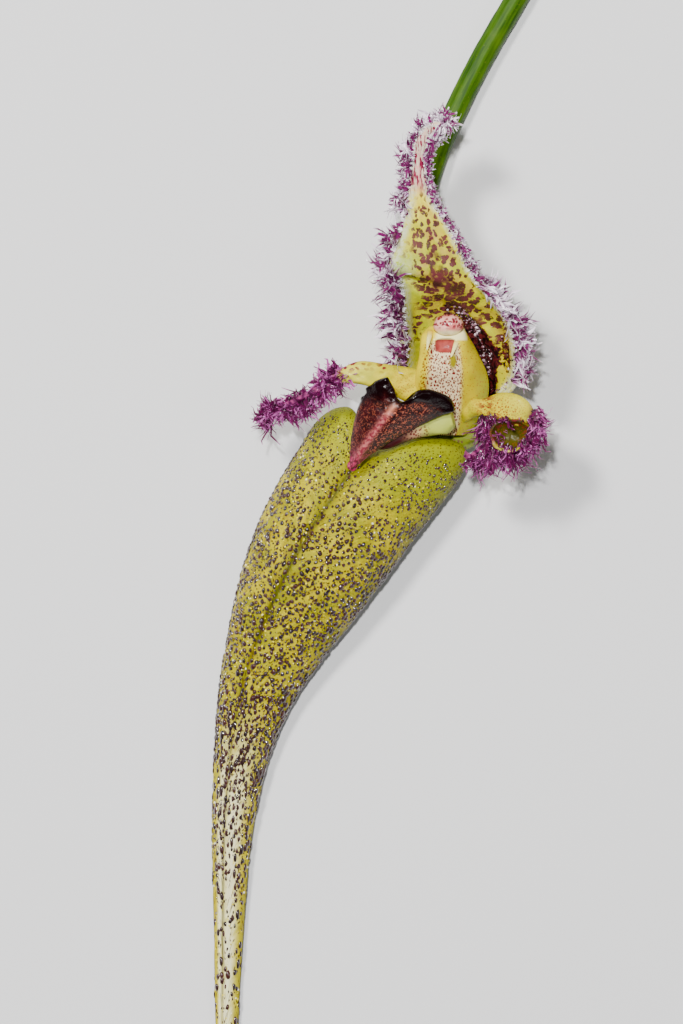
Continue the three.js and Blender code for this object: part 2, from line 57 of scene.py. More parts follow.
# The tongue, from the column down to its tail: x, y, half width.
TONGUE = [
    [7.68, 11.05, 7.4], [4.76, 6.38, 7.45], [1.85, 1.7, 7.35], [-1.65, -3.75, 7.05], [-4.5, -8.95, 6.25],
    [-6.75, -13.75, 5.1], [-8.75, -18.8, 3.95], [-10.05, -23.75, 3.05], [-10.9, -29.1, 2.42],
    [-11.45, -35, 1.95], [-11.75, -45, 1.45], [-11.9, -55, 1.1], [-11.4, -67, 0.82], [-10.2, -80.5, 0.6],
    [-8.6, -94, 0.42],
]
TONGUE_WIDEST = 7.4
TONGUE_LONG = 90  # about the length that a wart's place is a share of
TONGUE_ROW = 5.6  # from one of the upper rows to the next
TONGUE_ROLL = 2.16  # the angle at which the margins end, rolled under
TONGUE_TALL = 0.78
TONGUE_THICK = 1.2
TAIL_THICK_SHARE = 0.42
TAIL_CLOSES = (13.6, 0.42)  # the row where the tail's tip begins to close, and the rows that it takes
FRONT = 1.4  # the seam shows within this angle
RIM_ROLL = 1.7
RIM_DROP = 2.6
RIM_NARROWER = 0.12
LOBE_FLARE = 0.08  # how much wider the right lobe swells beside the column
# The neckline: angle in degrees, height above the notch's row.
NECKLINE = [
    [-125, -2.5], [-90, 2.9], [-75, 4.5], [-60, 5.5], [-48, 5.9], [-36, 5.5], [-24, 4.3],
    [-13, 2.6], [-3, 3.8], [10, 5.8], [30, 7.4], [57, 8.4], [90, 6.8], [125, 1.5],
]
NOTCH_ROW = 2

# The hood: left margin x y z, right margin x y z, height of the middle.
HOOD = [
    [9.2, 9.8, 3.9, 13.5, 9.5, 4.2, 3.7],
    [6.1, 12.2, 7.6, 16.5, 11.2, 8.0, 4.1],
    [5.9, 15.5, 9.6, 17.4, 13.8, 10.2, 4.6],
    [5.6, 18.5, 10.4, 16.8, 17.2, 11.0, 6.0],
    [5.4, 21.0, 10.8, 15.1, 19.8, 11.2, 8.6],
    [4.4, 22.8, 10.2, 13.1, 22.1, 11.5, 10.4],
    [4.8, 24.8, 10.0, 11.8, 24.8, 11.4, 10.4],
    [5.6, 27.5, 10.4, 10.5, 27.4, 11.1, 10.0],
    [6.1, 30.2, 10.4, 8.8, 30.0, 10.8, 10.0],
    [6.6, 33.2, 10.7, 8.1, 32.8, 10.9, 10.4],
    [6.9, 35.4, 11.2, 8.1, 34.9, 11.3, 11.0],
    [7.8, 37.1, 11.8, 8.6, 36.2, 11.8, 11.6],
    [9.9, 37.9, 12.4, 9.8, 37.2, 12.3, 12.3],
]
HOOD_THICK = 0.55
HOOD_INSET = 0.15  # the hood's face stands this far inside its outline
HOOD_LIFT = 0.7  # and this far above the plan's height in the middle
# The fold of the hood's dark pocket: y, x.
POCKET_FOLD = [[11.2, 15.2], [12.5, 15.4], [15.0, 15.4], [17.0, 14.3], [18.6, 12.8], [20, 11.8]]
# The hood's width for its down: row, width.
DOWN_WIDTH = [[0, 6], [3, 11], [5, 9], [7, 5.5], [9, 2.6], [11, 1.5], [12, 1.0]]

# How far the hood's fringe reaches from each margin: y, length.
FRINGE_LEFT = [
    [9, 1.4], [13, 2.2], [16, 2.7], [20, 3.0], [22.6, 2.3], [25, 1.7], [26.6, 2.4], [27.4, 0.5], [27.9, 0.0],
    [28.4, 0.3], [29.0, 1.8], [30.4, 2.3], [31.6, 0.9], [33, 1.6], [34.5, 1.9], [36, 1.0], [37.5, 1.5],
]
FRINGE_RIGHT = [
    [9, 1.8], [11, 2.3], [13.5, 2.1], [17, 2.0], [18.6, 2.5], [20, 2.8], [21.2, 2.3], [22.2, 1.4], [24, 1.1],
    [28, 0.8], [30, 0.9], [32, 0.7], [35, 1.0], [36.5, 1.5],
]
# Each of the fringe's four layers: how far its hairs lift, and how high it is rooted.
FRINGE_LAYERS = [(0.75, 0.05), (0.25, -0.1), (-0.15, -0.3), (-0.5, -0.5)]
# A hair's stations: share of its length, share of its width.
HAIR = [(0.0, 0.6), (0.2, 1.0), (0.42, 1.0), (0.64, 0.9), (0.84, 0.7), (1.0, 0.34)]
CURL = 0.5  # how far a tuft's hairs bend aside, in their own lengths
TUFT = 5  # hairs in each tuft
TUFT_SPREAD = np.array([0.14, 0.14, 0.1])
DARK, LIGHT, PETAL_DARK = 0.75, 0.25, 0.8  # tones of hairs

# The petals along their middle, from the root that flares and grows into the column's side:
# x, y, z, half width, then the direction across. BLADE is their thickness.
BLADE = 0.8
PETAL_LEFT = [
    [8.2, 10.6, 9.3, 2.1, 0.25, 1, 0.1],
    [6.75, 11.5, 9.9, 1.5, 0.1, 1, 0.1],
    [4.2, 12.2, 10.7, 1.15, 0, 1, 0.2],
    [1.6, 12.6, 11.0, 1.2, -0.15, 1, 0.15],
    [-0.6, 12.2, 10.8, 0.7, -0.35, 1, 0],
    [-3.0, 10.9, 10.3, 0.42, -0.4, 1, 0],
    [-5.2, 9.7, 9.8, 0.38, -0.3, 1, 0],
    [-7.3, 9.0, 9.2, 0.35, -0.5, 1, 0],
    [-8.4, 8.0, 8.7, 0.32, -1, 0.6, 0],
]
PETAL_RIGHT = [
    [12.2, 9.3, 7.2, 1.6, 0, 1, -0.1],
    [13.75, 9.2, 8.9, 0.85, 0, 1, -0.1],
    [15.9, 9.2, 10.5, 1.1, 0, 1, 0],
    [17.6, 8.8, 11.2, 1.1, 0.35, 0.85, 0.4],
    [18.3, 7.6, 11.2, 1.2, 0.75, 0.1, 0.65],
    [17.7, 6.3, 10.8, 1.3, 0.4, -0.65, 0.65],
    [16.6, 5.9, 10.4, 1.25, 0, -0.75, 0.65],
    [15.1, 5.4, 10.1, 0.85, -0.1, -0.75, 0.65],
    [13.7, 4.7, 9.8, 0.42, -0.2, -0.8, 0.6],
    [12.7, 3.9, 9.5, 0.35, -0.5, -0.8, 0.4],
]
# The petals as they are dressed: the left foot sits lower, the right cushion is fuller than the strap.
FOOT_LOWER = 0.18
FOOT_FULLER = 0.32
CUSHION_FULLER = 0.42
LIMB_LOWER = 1.3
# The petals' hairs: rows from and to, counted from the row after the root, places across from and to,
# tufts, length, lean, share of dark ones.
ACROSS = (-0.95, 0.95)
LEFT_HAIRS = [
    ((2.9, 3.3), ACROSS, 24, 1.2, [-0.3, 0.9, 0.3], 0.4),
    ((2.5, 3.1), ACROSS, 16, 0.9, [-0.9, 1.6, -0.3], 0.5),
    ((2.9, 3.7), ACROSS, 56, 1.8, [-0.1, -0.1, 0], 0.65),
    ((3.7, 5.2), (0.6, 0.95), 84, 2.0, [-0.1, -1.4, -0.7], 0.75),
    ((3.8, 5.2), (-0.95, -0.8), 10, 1.2, [-0.1, 1.3, -0.7], 0.6),
    ((5.2, 6.0), ACROSS, 56, 1.7, [0.1, -0.8, -0.1], 0.75),
    ((5.6, 6.9), ACROSS, 70, 1.4, [0.1, 0, 0], 0.75),
    ((6.4, 6.7), ACROSS, 7, 2.4, [0.2, -4.6, 0], 0.75),
]
RIGHT_HAIRS = [
    ((2.4, 3.4), (-0.95, -0.3), 34, 1.8, [0.8, -1.5, 0.1], 0.55),
    ((3.2, 4.4), (-0.95, -0.3), 26, 1.8, [0.6, -1.9, -0.4], 0.8),
    ((5.8, 7.4), ACROSS, 90, 1.9, [0.5, -1.6, -0.3], 0.85),
    ((5.0, 7.2), ACROSS, 70, 2.7, [0.4, -2.8, -0.4], 0.85),
    ((7.2, 7.95), ACROSS, 26, 1.1, [0.1, -0.7, 0.3], 0.85),
]

# The hollow between the right petal's limbs.
CUP_CENTRE = [16.5, 6.45, 12.0]
CUP_RADII = [2.0, 1.45, 1.2]
CUP_TURN = 0.08
# Its hairs: from and to in x, y and z, tufts, lean, shortest and longest, share of dark ones.
CUP_HAIRS = [
    ([13.5, 7.2, 9.2], [14.8, 8.5, 10.8], 80, [0.3, -1.5, 0.1], (1.2, 2.8), 0.85),
    ([14.4, 8.0, 11.3], [17.8, 8.4, 12.2], 18, [0.1, -1.0, 0.5], (0.3, 0.7), 0.85),
    ([16.2, 7.7, 11.8], [16.3, 8.0, 12.2], 1, [0.1, -1.0, 0.2], (1.3, 1.6), 0.6),
    ([18.2, 6.0, 11.0], [18.9, 8.4, 12.0], 22, [0.5, -1.5, 0.0], (1.3, 2.4), 0.55),
    ([15.4, 4.8, 10.0], [18.2, 5.2, 10.7], 28, [0.0, -1.6, 0.0], (1.2, 2.5), 0.85),
    ([13.9, 5.0, 10.4], [14.9, 7.2, 11.2], 40, [0.0, -1.3, 0.0], (0.8, 1.7), 0.9),
    ([15.0, 5.0, 11.4], [17.8, 5.4, 11.9], 14, [0.0, -1.0, 0.3], (0.4, 0.9), 0.85),
    ([18.7, 8.0, 10.8], [19.2, 9.2, 11.6], 9, [1.2, -0.5, 0.2], (0.9, 1.6), 0.1),
]

# The column from its foot to its top: y, left x, front ridge x, right x, height of the front, depth.
COLUMN = [
    [6.5, 9.0, 11.2, 12.1, 6.3, 2.9],
    [7.5, 7.9, 11.6, 13.1, 7.1, 3.7],
    [9.3, 7.2, 11.8, 14.0, 8.8, 4.0],
    [11.1, 7.2, 11.9, 14.3, 10.6, 4.3],
    [12.7, 7.3, 11.9, 14.1, 12.1, 4.8],
    [14.3, 7.6, 11.7, 13.4, 12.9, 4.4],
    [15.5, 7.7, 11.5, 12.8, 13.1, 3.8],
    [16.5, 7.9, 11.5, 12.2, 12.9, 3.1],
    [17.3, 8.6, 11.3, 11.7, 12.2, 2.2],
]
STIGMA = np.array([[9.95, 15.35, 13.35], [1.05, 0.75, 0.85]])  # middle, half sizes
OLIVE_MARK = (10.75, 13.8)
TEETH = [
    ([8.5, 16.7, 12.4], [8.15, 14.9, 14.0]),
    ([11.3, 16.0, 12.3], [10.55, 14.2, 14.1]),
]
TOOTH_RADIUS = 0.3
CAP = np.array([[10.3, 17.35, 12.45], [1.5, 1.15, 1.45]])
CAP_CLEARANCE = 0.04

LIP_TIP = [0.35, 2.6, 10.1]
LIP_MIDDLE = [
    [0.05, 6.95, 9.9], [1.0, 6.9, 11.2], [2.3, 6.5, 12.7],
    [3.4, 6.6, 12.2], [4.5, 6.7, 11.2], [5.3, 6.7, 9.9],
]
LIP_BACK = [
    [1.7, 10.2, 11.0], [2.6, 11.7, 12.6], [4.0, 12.1, 13.9], [4.9, 11.0, 13.5], [5.4, 9.9, 13.2],
    [6.7, 10.25, 13.9], [8.2, 10.65, 13.8], [9.7, 10.3, 12.9], [10.7, 9.7, 12.0], [11.0, 8.7, 11.0],
]
LIP_THICK = 0.85
LIP_BLUNT = 0.03
LIP_RIDGE = 4 / 9  # place across of the ridge between the lip's two flanks
LIP_WIDE = 11.5
# The lip's fleshy keel, from under its middle to its hinge: x, y, z, half width, half depth.
LIP_KEEL = [
    [2.6, 5.2, 9.2, 0.25, 0.3],
    [4.2, 5.9, 9.1, 0.8, 0.8],
    [6.2, 6.9, 8.9, 1.05, 1.1],
    [8.2, 7.65, 8.9, 1.25, 1.2],
    [9.7, 8.05, 9.1, 1.5, 1.2],
    [10.75, 8.3, 9.3, 1.1, 0.9],
]
RECEPTACLE = np.array([[10.6, 7.4, 3.2], [4.3, 2.6, 1.5]])

STALK_RADIUS = 1.15
STALK_ROUTE = [
    [20.6, 56.5, 1.52], [16.95, 50, 1.52], [14.05, 45, 1.52], [11.4, 39.8, 1.52],
    [9.3, 35, 1.55], [8.1, 30.8, 1.6], [7.8, 26.2, 1.7],
]
# The ovary on its own short stalk: x, y, z, radius.
OVARY = [
    [7.8, 26.6, 1.7, 0.8], [8.0, 23, 1.7, 0.75], [8.6, 19, 1.7, 0.82], [9.6, 15, 1.7, 1.0],
    [10.4, 11.5, 1.8, 1.2], [10.85, 9.2, 2.0, 1.25], [11.0, 7.9, 2.45, 1.2],
]
OVARY_RIBS = 6
RIB_HEIGHT = 0.09
BRACT_AT = [7.8, 26.6, 1.7]
BRACT_RADIUS = 1.75
BRACT_LENGTH = 5.2
BRACT_OPENING = 1.9
BRACT_TIP = 0.25
BRACT_FLARE = 0.2
BRACT_THICK = 0.6

PHOTO = (683, 1024)
PLAN_ORIGIN = (345, 500)  # the photo's pixel at the plan's origin
MM_PER_PIXEL = 0.1

# ---------------------------------------------------------------- small helpers


def rise(x, start, width):
    """0 up to start and 1 from start + width on, smooth between."""
    f = np.clip((x - start) / width, 0.0, 1.0)
    return f * f * (3 - 2 * f)


def fall(x, start, width):
    return 1 - rise(x, start, width)


def bump(x, width):
    return np.exp(-((x / width) ** 2))


def mixed(a, b, f):
    return a + (b - a) * f


def unit(v):
    return v / np.maximum(np.linalg.norm(v, axis=-1, keepdims=True), 1e-12)


def lookup(rows, key):
    """Straight-line reading of a table of keys and values."""
    return np.interp(key, *np.array(rows).T)


def curve(a, b, slope_a, slope_b, f):
    """The cubic from a to b with the given slopes at its ends, a share f of the way."""
    f2, f3 = f * f, f * f * f
    at_a = (2 * f3 - 3 * f2 + 1) * a + (f3 - 2 * f2 + f) * slope_a
    return at_a + (3 * f2 - 2 * f3) * b + (f3 - f2) * slope_b


def along(rows, place):
    """A smooth curve through rows of numbers, at places counted in rows from 0."""
    rows = np.asarray(rows, float)
    last = len(rows) - 1
    i = np.clip(np.floor(place).astype(int), 0, last - 1)
    f = np.clip(place - i, 0, 1)[..., None]
    a, b = rows[i], rows[i + 1]
    return curve(a, b, (b - rows[np.maximum(i - 1, 0)]) / 2, (rows[np.minimum(i + 2, last)] - a) / 2, f)


def keyed(pairs, key):
    """Reads values from pairs of key and value by a smooth curve through them."""
    keys, values = np.array(pairs, float).T
    slopes = np.gradient(values, keys)
    i = np.clip(np.searchsorted(keys, key), 1, len(keys) - 1)
    width = keys[i] - keys[i - 1]
    f = np.clip((key - keys[i - 1]) / width, 0, 1)
    return curve(values[i - 1], values[i], width * slopes[i - 1], width * slopes[i], f)


def closed_curve(points, count):
    """Points on a smooth closed curve through points of shape (..., n, 3)."""
    n = points.shape[-2]
    t = np.arange(count) / count * n
    i = np.floor(t).astype(int)
    p0, p1, p2, p3 = (points[..., (i + k) % n, :] for k in (-1, 0, 1, 2))
    return curve(p1, p2, (p2 - p0) / 2, (p3 - p1) / 2, (t - i)[:, None])


def travelled(points, axis=0):
    """The length along lines of points, from each line's first point."""
    step = np.linalg.norm(np.diff(points, axis=axis), axis=-1)
    return np.insert(np.cumsum(step, axis=axis), 0, 0.0, axis=axis)


def circle(sides):
    return np.linspace(0, FULL_TURN, sides, endpoint=False)


def ripple(a, b, seed, waves=9, longest=6.0, shortest=1.2):
    """A gentle seeded relief between about -1 and 1 over two lengths in millimetres."""
    random = np.random.default_rng(seed)
    total = 0.0
    for _ in range(waves):
        length = random.uniform(shortest, longest)
        turn = random.uniform(0, FULL_TURN)
        phase = random.uniform(0, FULL_TURN)
        total = total + np.sin(FULL_TURN * (a * math.cos(turn) + b * math.sin(turn)) / length + phase)
    return total / math.sqrt(waves)


def spot(x, y, amount, cx, cy, wx, wy, turn=0.0):
    """A soft oval patch in the flower's plan, of the given amount in its middle."""
    dx, dy = x - cx, y - cy
    a = dx * math.cos(turn) + dy * math.sin(turn)
    b = -dx * math.sin(turn) + dy * math.cos(turn)
    return amount * np.exp(-((a / wx) ** 2) - (b / wy) ** 2)


def spots(x, y, *patches):
    return sum(spot(x, y, *patch) for patch in patches)


# ---------------------------------------------------------------- meshes


def make_piece(name, points, faces, material, marks):
    """A smooth-shaded piece from points in millimetres; marks are named numbers held by its points."""
    points = np.array(points, float)
    points[..., 2] = np.maximum(points[..., 2], REST_CUT)
    mesh = bpy.data.meshes.new(name)
    mesh.from_pydata(((points.reshape(-1, 3) - REST) * MM).tolist(), [], faces)
    mesh.polygons.foreach_set("use_smooth", [True] * len(mesh.polygons))
    for key, values in marks.items():
        layer = mesh.attributes.new(key, "FLOAT", "POINT")
        values = np.broadcast_to(values, points.shape[:-1]).ravel()
        layer.data.foreach_set("value", values.astype(np.float32))
    mesh.materials.append(material)
    piece = bpy.data.objects.new(name, mesh)
    bpy.context.scene.collection.objects.link(piece)
    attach(piece, "root")
    return piece


def grid_faces(rows, columns, start=0, flip=False, around=False):
    """Quads between a grid's points; around joins its last column to its first."""
    i, j = np.indices((rows - 1, columns if around else columns - 1)).reshape(2, -1)
    k = (j + 1) % columns
    corners = [i * columns + j, (i + 1) * columns + j, (i + 1) * columns + k, i * columns + k]
    if flip:
        corners[1], corners[3] = corners[3], corners[1]
    return (np.stack(corners, axis=1) + start).tolist()


def repeated(pattern, count, each):
    """The pattern's faces for count shapes that have each so many points."""
    pattern = np.array(pattern)
    return (pattern + np.arange(count)[:, None, None] * each).reshape(-1, pattern.shape[1]).tolist()


def spread(low, high, count, edge, edge_lines=5):
    """Evenly placed lines from low to high, with more of them within edge of both ends."""
    body = np.linspace(low, high, count)
    close = edge * (1 - np.cos(np.linspace(0, QUARTER, edge_lines + 1)))
    middle = body[(body > low + edge * 1.05) & (body < high - edge * 1.05)]
    return np.r_[low + close, middle, (high - close)[::-1]]


ALL_SIDES = ("left", "right", "first", "last")


def blade(name, grid, thickness, relief, material, marks, sides=ALL_SIDES, under=2):
    """A closed blade whose upper face is the grid, with rounded margins on the named sides.

    relief lifts the upper face alone. The lower face is coarser: it has every under-th line."""
    normals = unit(np.cross(np.gradient(grid, axis=0), np.gradient(grid, axis=1)))
    across, down = travelled(grid, 1), travelled(grid, 0)
    inward = {"left": across, "right": across[:, -1:] - across, "first": down, "last": down[-1:] - down}
    nearest = np.minimum.reduce([inward[side] for side in sides])
    inner = np.clip(nearest / np.maximum(thickness / 2, 1e-6), 0, 1)
    full = np.sqrt(np.clip(1 - (1 - inner) ** 2, 0, 1))
    upper = grid + normals * (relief * full - thickness * (1 - full) / 2)[..., None]
    # The margins' last few lines are kept, so that the rounding is whole on both faces.
    taken = np.ix_(*(np.unique(np.r_[0:6, 0:n:under, n - 6 : n]) for n in full.shape))
    lower = (grid - normals * (thickness * (1 + full) / 2)[..., None])[taken]
    faces = grid_faces(*full.shape) + grid_faces(*lower.shape[:2], start=full.size, flip=True)
    both = {}
    for key, values in marks.items():
        values = np.broadcast_to(values, full.shape)
        both[key] = np.r_[values.ravel(), values[taken].ravel()]
    points = np.concatenate([upper.reshape(-1, 3), lower.reshape(-1, 3)])
    return make_piece(name, points, faces, material, both)


END_SHARES = [0.0, 0.25, 0.5, 0.72, 0.88]


def closed_loft(rings):
    """Points and faces of a body through rings, closed by rings that shrink to each end's middle."""
    first, last = rings[0], rings[-1]
    start = [first.mean(0) + (first - first.mean(0)) * k for k in END_SHARES]
    end = [last.mean(0) + (last - last.mean(0)) * k for k in END_SHARES[::-1]]
    grid = np.concatenate([np.stack(start), rings, np.stack(end)])
    return grid, grid_faces(*grid.shape[:2], around=True)


def for_rings(values, first, last):
    """Marks for a closed loft, one for each ring: first and last are those of its two ends."""
    ends = len(END_SHARES)
    return np.r_[np.full(ends, first), values, np.full(ends, last)][:, None]


def tube_rings(line, wide, deep):
    """Oval rings across a line; wide and deep are half sizes for each ring and side."""
    way = unit(np.gradient(line, axis=0))
    side = unit(np.cross(UP, way))
    up = np.cross(way, side)
    turn = circle(wide.shape[1])
    ring = (np.cos(turn) * wide)[..., None] * side[:, None]
    return line[:, None] + ring + (np.sin(turn) * deep)[..., None] * up[:, None]


def ball(rows, columns):
    """Unit directions and faces of a ball's grid, poles along y."""
    a = np.linspace(0, math.pi, rows)[:, None]
    b = circle(columns)[None, :]
    grid = np.stack([np.sin(a) * np.cos(b), np.cos(a) + 0 * b, np.sin(a) * np.sin(b)], axis=-1)
    return grid, grid_faces(rows, columns, around=True, flip=True)


# ---------------------------------------------------------------- materials


def linear(r, g, b):
    """An ordinary screen colour, 0 to 255 each, as the renderer's linear colour."""
    c = np.array([r, g, b]) / 255.0
    return tuple(np.where(c <= 0.04045, c / 12.92, ((c + 0.055) / 1.055) ** 2.4)) + (1.0,)


class Paint:
    """One material's nodes. The calls that make a node return its output socket.

    A value may be a number, a screen colour, the name of a mark or another call's socket."""

    def __init__(self, name, roughness, specular, coat=0.0, coat_roughness=0.1, subsurface=0.0):
        self.material = bpy.data.materials.new(name)
        self.material.use_nodes = True
        self.nodes = self.material.node_tree.nodes
        self.links = self.material.node_tree.links
        self.shader = self.nodes["Principled BSDF"]
        self.shader.inputs["Roughness"].default_value = roughness
        self.shader.inputs["Specular IOR Level"].default_value = specular
        self.shader.inputs["Coat Weight"].default_value = coat
        self.shader.inputs["Coat Roughness"].default_value = coat_roughness
        self.shader.inputs["Subsurface Weight"].default_value = subsurface
        self.shader.inputs["Subsurface Radius"].default_value = (1.0, 0.6, 0.25)
        self.shader.inputs["Subsurface Scale"].default_value = 0.0004
        where = self.add("TexCoord", "Object", {})
        self.place = self.add("VectorMath", 0, {0: where, "Scale": 1 / MM}, operation="SCALE")
        self.base = None

    def add(self, kind, output, values, **settings):
        """A new node of a kind, with its settings and the values of its inputs."""
        made = self.nodes.new("ShaderNode" + kind)
        for key, value in settings.items():
            setattr(made, key, value)
        for key, value in values.items():
            self.put(value, made.inputs[key])
        return made.outputs[output]

    def put(self, value, socket):
        if isinstance(value, str):
            value = self.add("Attribute", "Fac", {}, attribute_name=value)
        if isinstance(value, bpy.types.NodeSocket):
            self.links.new(value, socket)
        else:
            socket.default_value = linear(*value) if isinstance(value, tuple) else value

    def unroll(self):
        """Lays the textures out over the surface's own lengths, from its marks."""
        self.place = self.add("CombineXYZ", 0, {0: "round", 1: "down"})

    def sum(self, kind, a, b):
        return self.add("Math", 0, {0: a, 1: b}, operation=kind)

    def plus(self, a, b):
        return self.sum("ADD", a, b)

    def times(self, a, b):
        return self.sum("MULTIPLY", a, b)

    def swing(self, value, amount):
        """A value from 0 to 1 made to swing about 0."""
        return self.times(self.sum("SUBTRACT", value, 0.5), amount)

    def stretched(self, scale, turn=0.0, vector=None):
        values = {"Vector": vector or self.place, "Scale": list(scale), "Rotation": [0, 0, turn]}
        return self.add("Mapping", 0, values)

    def noise(self, scale, detail, rough=0.5, distort=0.0, vector=None, output="Fac"):
        values = {"Vector": vector or self.place, "Scale": scale, "Detail": detail}
        return self.add("TexNoise", output, values | {"Roughness": rough, "Distortion": distort})

    def cells(self, scale, vector=None, output="Distance", kind="2D"):
        values = {"Vector": vector or self.place, "Scale": scale}
        return self.add("TexVoronoi", output, values, voronoi_dimensions=kind)

    def warped(self, scale, amount):
        """The place moved about by a noise, so that what is laid out on it gets uneven outlines."""
        values = {0: self.noise(scale, 2.0, output="Color"), 1: [amount] * 3, 2: self.place}
        return self.add("VectorMath", 0, values, operation="MULTIPLY_ADD")

    def step(self, value, low, high, to_low=0.0, to_high=1.0):
        values = {"Value": value, "From Min": low, "From Max": high, "To Min": to_low, "To Max": to_high}
        return self.add("MapRange", "Result", values, interpolation_type="SMOOTHSTEP")

    def dots(self, scale, size, soft, keep, vector=None):
        """Round dots of uneven size: 1 inside. keep is the share of cells that hold one."""
        near = self.cells(scale, vector)
        chance = self.cells(scale, vector, "Color")
        held = self.step(chance, 0.98 - keep, 1.02 - keep)
        radius = self.times(held, self.step(chance, 1 - keep, 1.0, 0.55 * size, size))
        return self.step(self.sum("SUBTRACT", radius, near), -soft, soft)

    def mix(self, share, a, b):
        return self.add("Mix", "Result", {"Factor": share, "A": a, "B": b}, data_type="RGBA")

    def mottled(self, scale, low, high, a, b, detail=2.0):
        """Two colours in soft patches."""
        return self.mix(self.step(self.noise(scale, detail), low, high), a, b)

    def over(self, share, colour, amount=None):
        """Lays a colour over what is there by a share, or by an amount of that share."""
        if amount:
            share = self.times(share, amount)
        self.base = self.mix(share, self.base, colour)

    def done(self, height=None, distance=0.0, strength=1.0, coat_too=True):
        """Sets the colour, and a fine relief of the height where one is given."""
        self.put(self.base, self.shader.inputs["Base Color"])
        if height is not None:
            values = {"Strength": strength, "Distance": distance * MM, "Height": height}
            bent = self.add("Bump", "Normal", values)
            for socket in ("Normal", "Coat Normal") if coat_too else ("Normal",):
                self.put(bent, self.shader.inputs[socket])
        return self.material


def tongue_paint():
    p = Paint("tongue_skin", roughness=0.5, specular=0.08, coat=0.09, coat_roughness=0.08, subsurface=0.05)
    p.unroll()
    p.base = p.mix(p.step(p.noise(0.35, 3.0, 0.55), 0.35, 0.68), (196, 178, 0), (142, 140, 0))
    p.over(p.step(p.noise(2.4, 3.0, 0.6), 0.5, 0.78, 0, 0.5), (236, 214, 0))
    p.over("lobe", (148, 154, 0))
    p.over("tail", (214, 198, 0), 0.5)
    # The tail's cream crest: partly its own pale colour, partly a painted highlight down its middle and along
    # a narrow streak left of it.
    pale = p.times("crest", p.step(p.noise(1.3, 3.0, 0.6), 0.34, 0.52, 0.45, 1))
    p.over(pale, (255, 250, 200))
    # Painted shade: the flanks that roll under are darkened to olive, reaching further in on the right side,
    # away from the lamp.
    p.over("under", (70, 74, 0))
    # Painted shade: a soft darker band on both sides of the seam.
    p.over("seam_painted_shade", (112, 118, 0), 0.5)
    # The seam's dark line: partly its own colour, partly painted shade in its groove.
    p.over("seam", (40, 46, 0), 0.9)
    cloud = p.times(p.step(p.noise(0.9, 3.0, 0.6), 0.46, 0.7), 0.45)
    cloud = p.times(cloud, p.sum("SUBTRACT", 1.0, p.times(pale, 0.8)))
    p.over(p.times(cloud, "spotty"), (104, 62, 8))
    small = p.times(p.dots(2.0, 0.3, 0.06, 0.45, p.warped(2.5, 0.3)), "spotty")
    tiny = p.times(p.dots(3.2, 0.3, 0.05, 0.6), "lobe")
    p.over(p.sum("MAXIMUM", small, tiny), (60, 22, 14), 0.85)
    return p.done(p.plus(p.noise(3.2, 4.0, 0.6), p.times(small, 0.4)), 0.16, 0.7)


def wart_paint():
    p = Paint("tongue_warts", roughness=0.4, specular=0.15, coat=1.0, coat_roughness=0.05)
    p.shader.inputs["Coat IOR"].default_value = 1.8
    p.base = p.mix("tone", (30, 6, 6), (66, 24, 18))
    p.over(p.step(p.noise(5.0, 2.0), 0.45, 0.7, 0, 0.5), (22, 6, 12))
    return p.done(p.noise(9.0, 2.0), 0.04, 0.5, coat_too=False)


def grain_glint_paint():
    p = Paint("tongue_grains_painted_glint", roughness=0.4, specular=0.2, coat=1.0, coat_roughness=0.08)
    # Pale yellow to near white: painted glints on the grains.
    p.base = p.mix(p.step("tone", 0.1, 0.6), (206, 190, 0), (250, 232, 60))
    p.over(p.step("tone", 0.7, 0.9), (255, 252, 220))
    return p.done()


def bead_glint_paint():
    p = Paint("hood_beads_painted_glint", roughness=0.14, specular=0.7, coat=0.6, coat_roughness=0.05)
    # Dark beads are their own colour; the pale mauve to near-white ones are painted glints.
    p.base = p.mix(p.step("tone", 0.2, 0.8), (44, 8, 14), (150, 104, 122))
    p.over(p.step("tone", 0.7, 0.9, 0, 0.8), (226, 204, 216))
    return p.done()


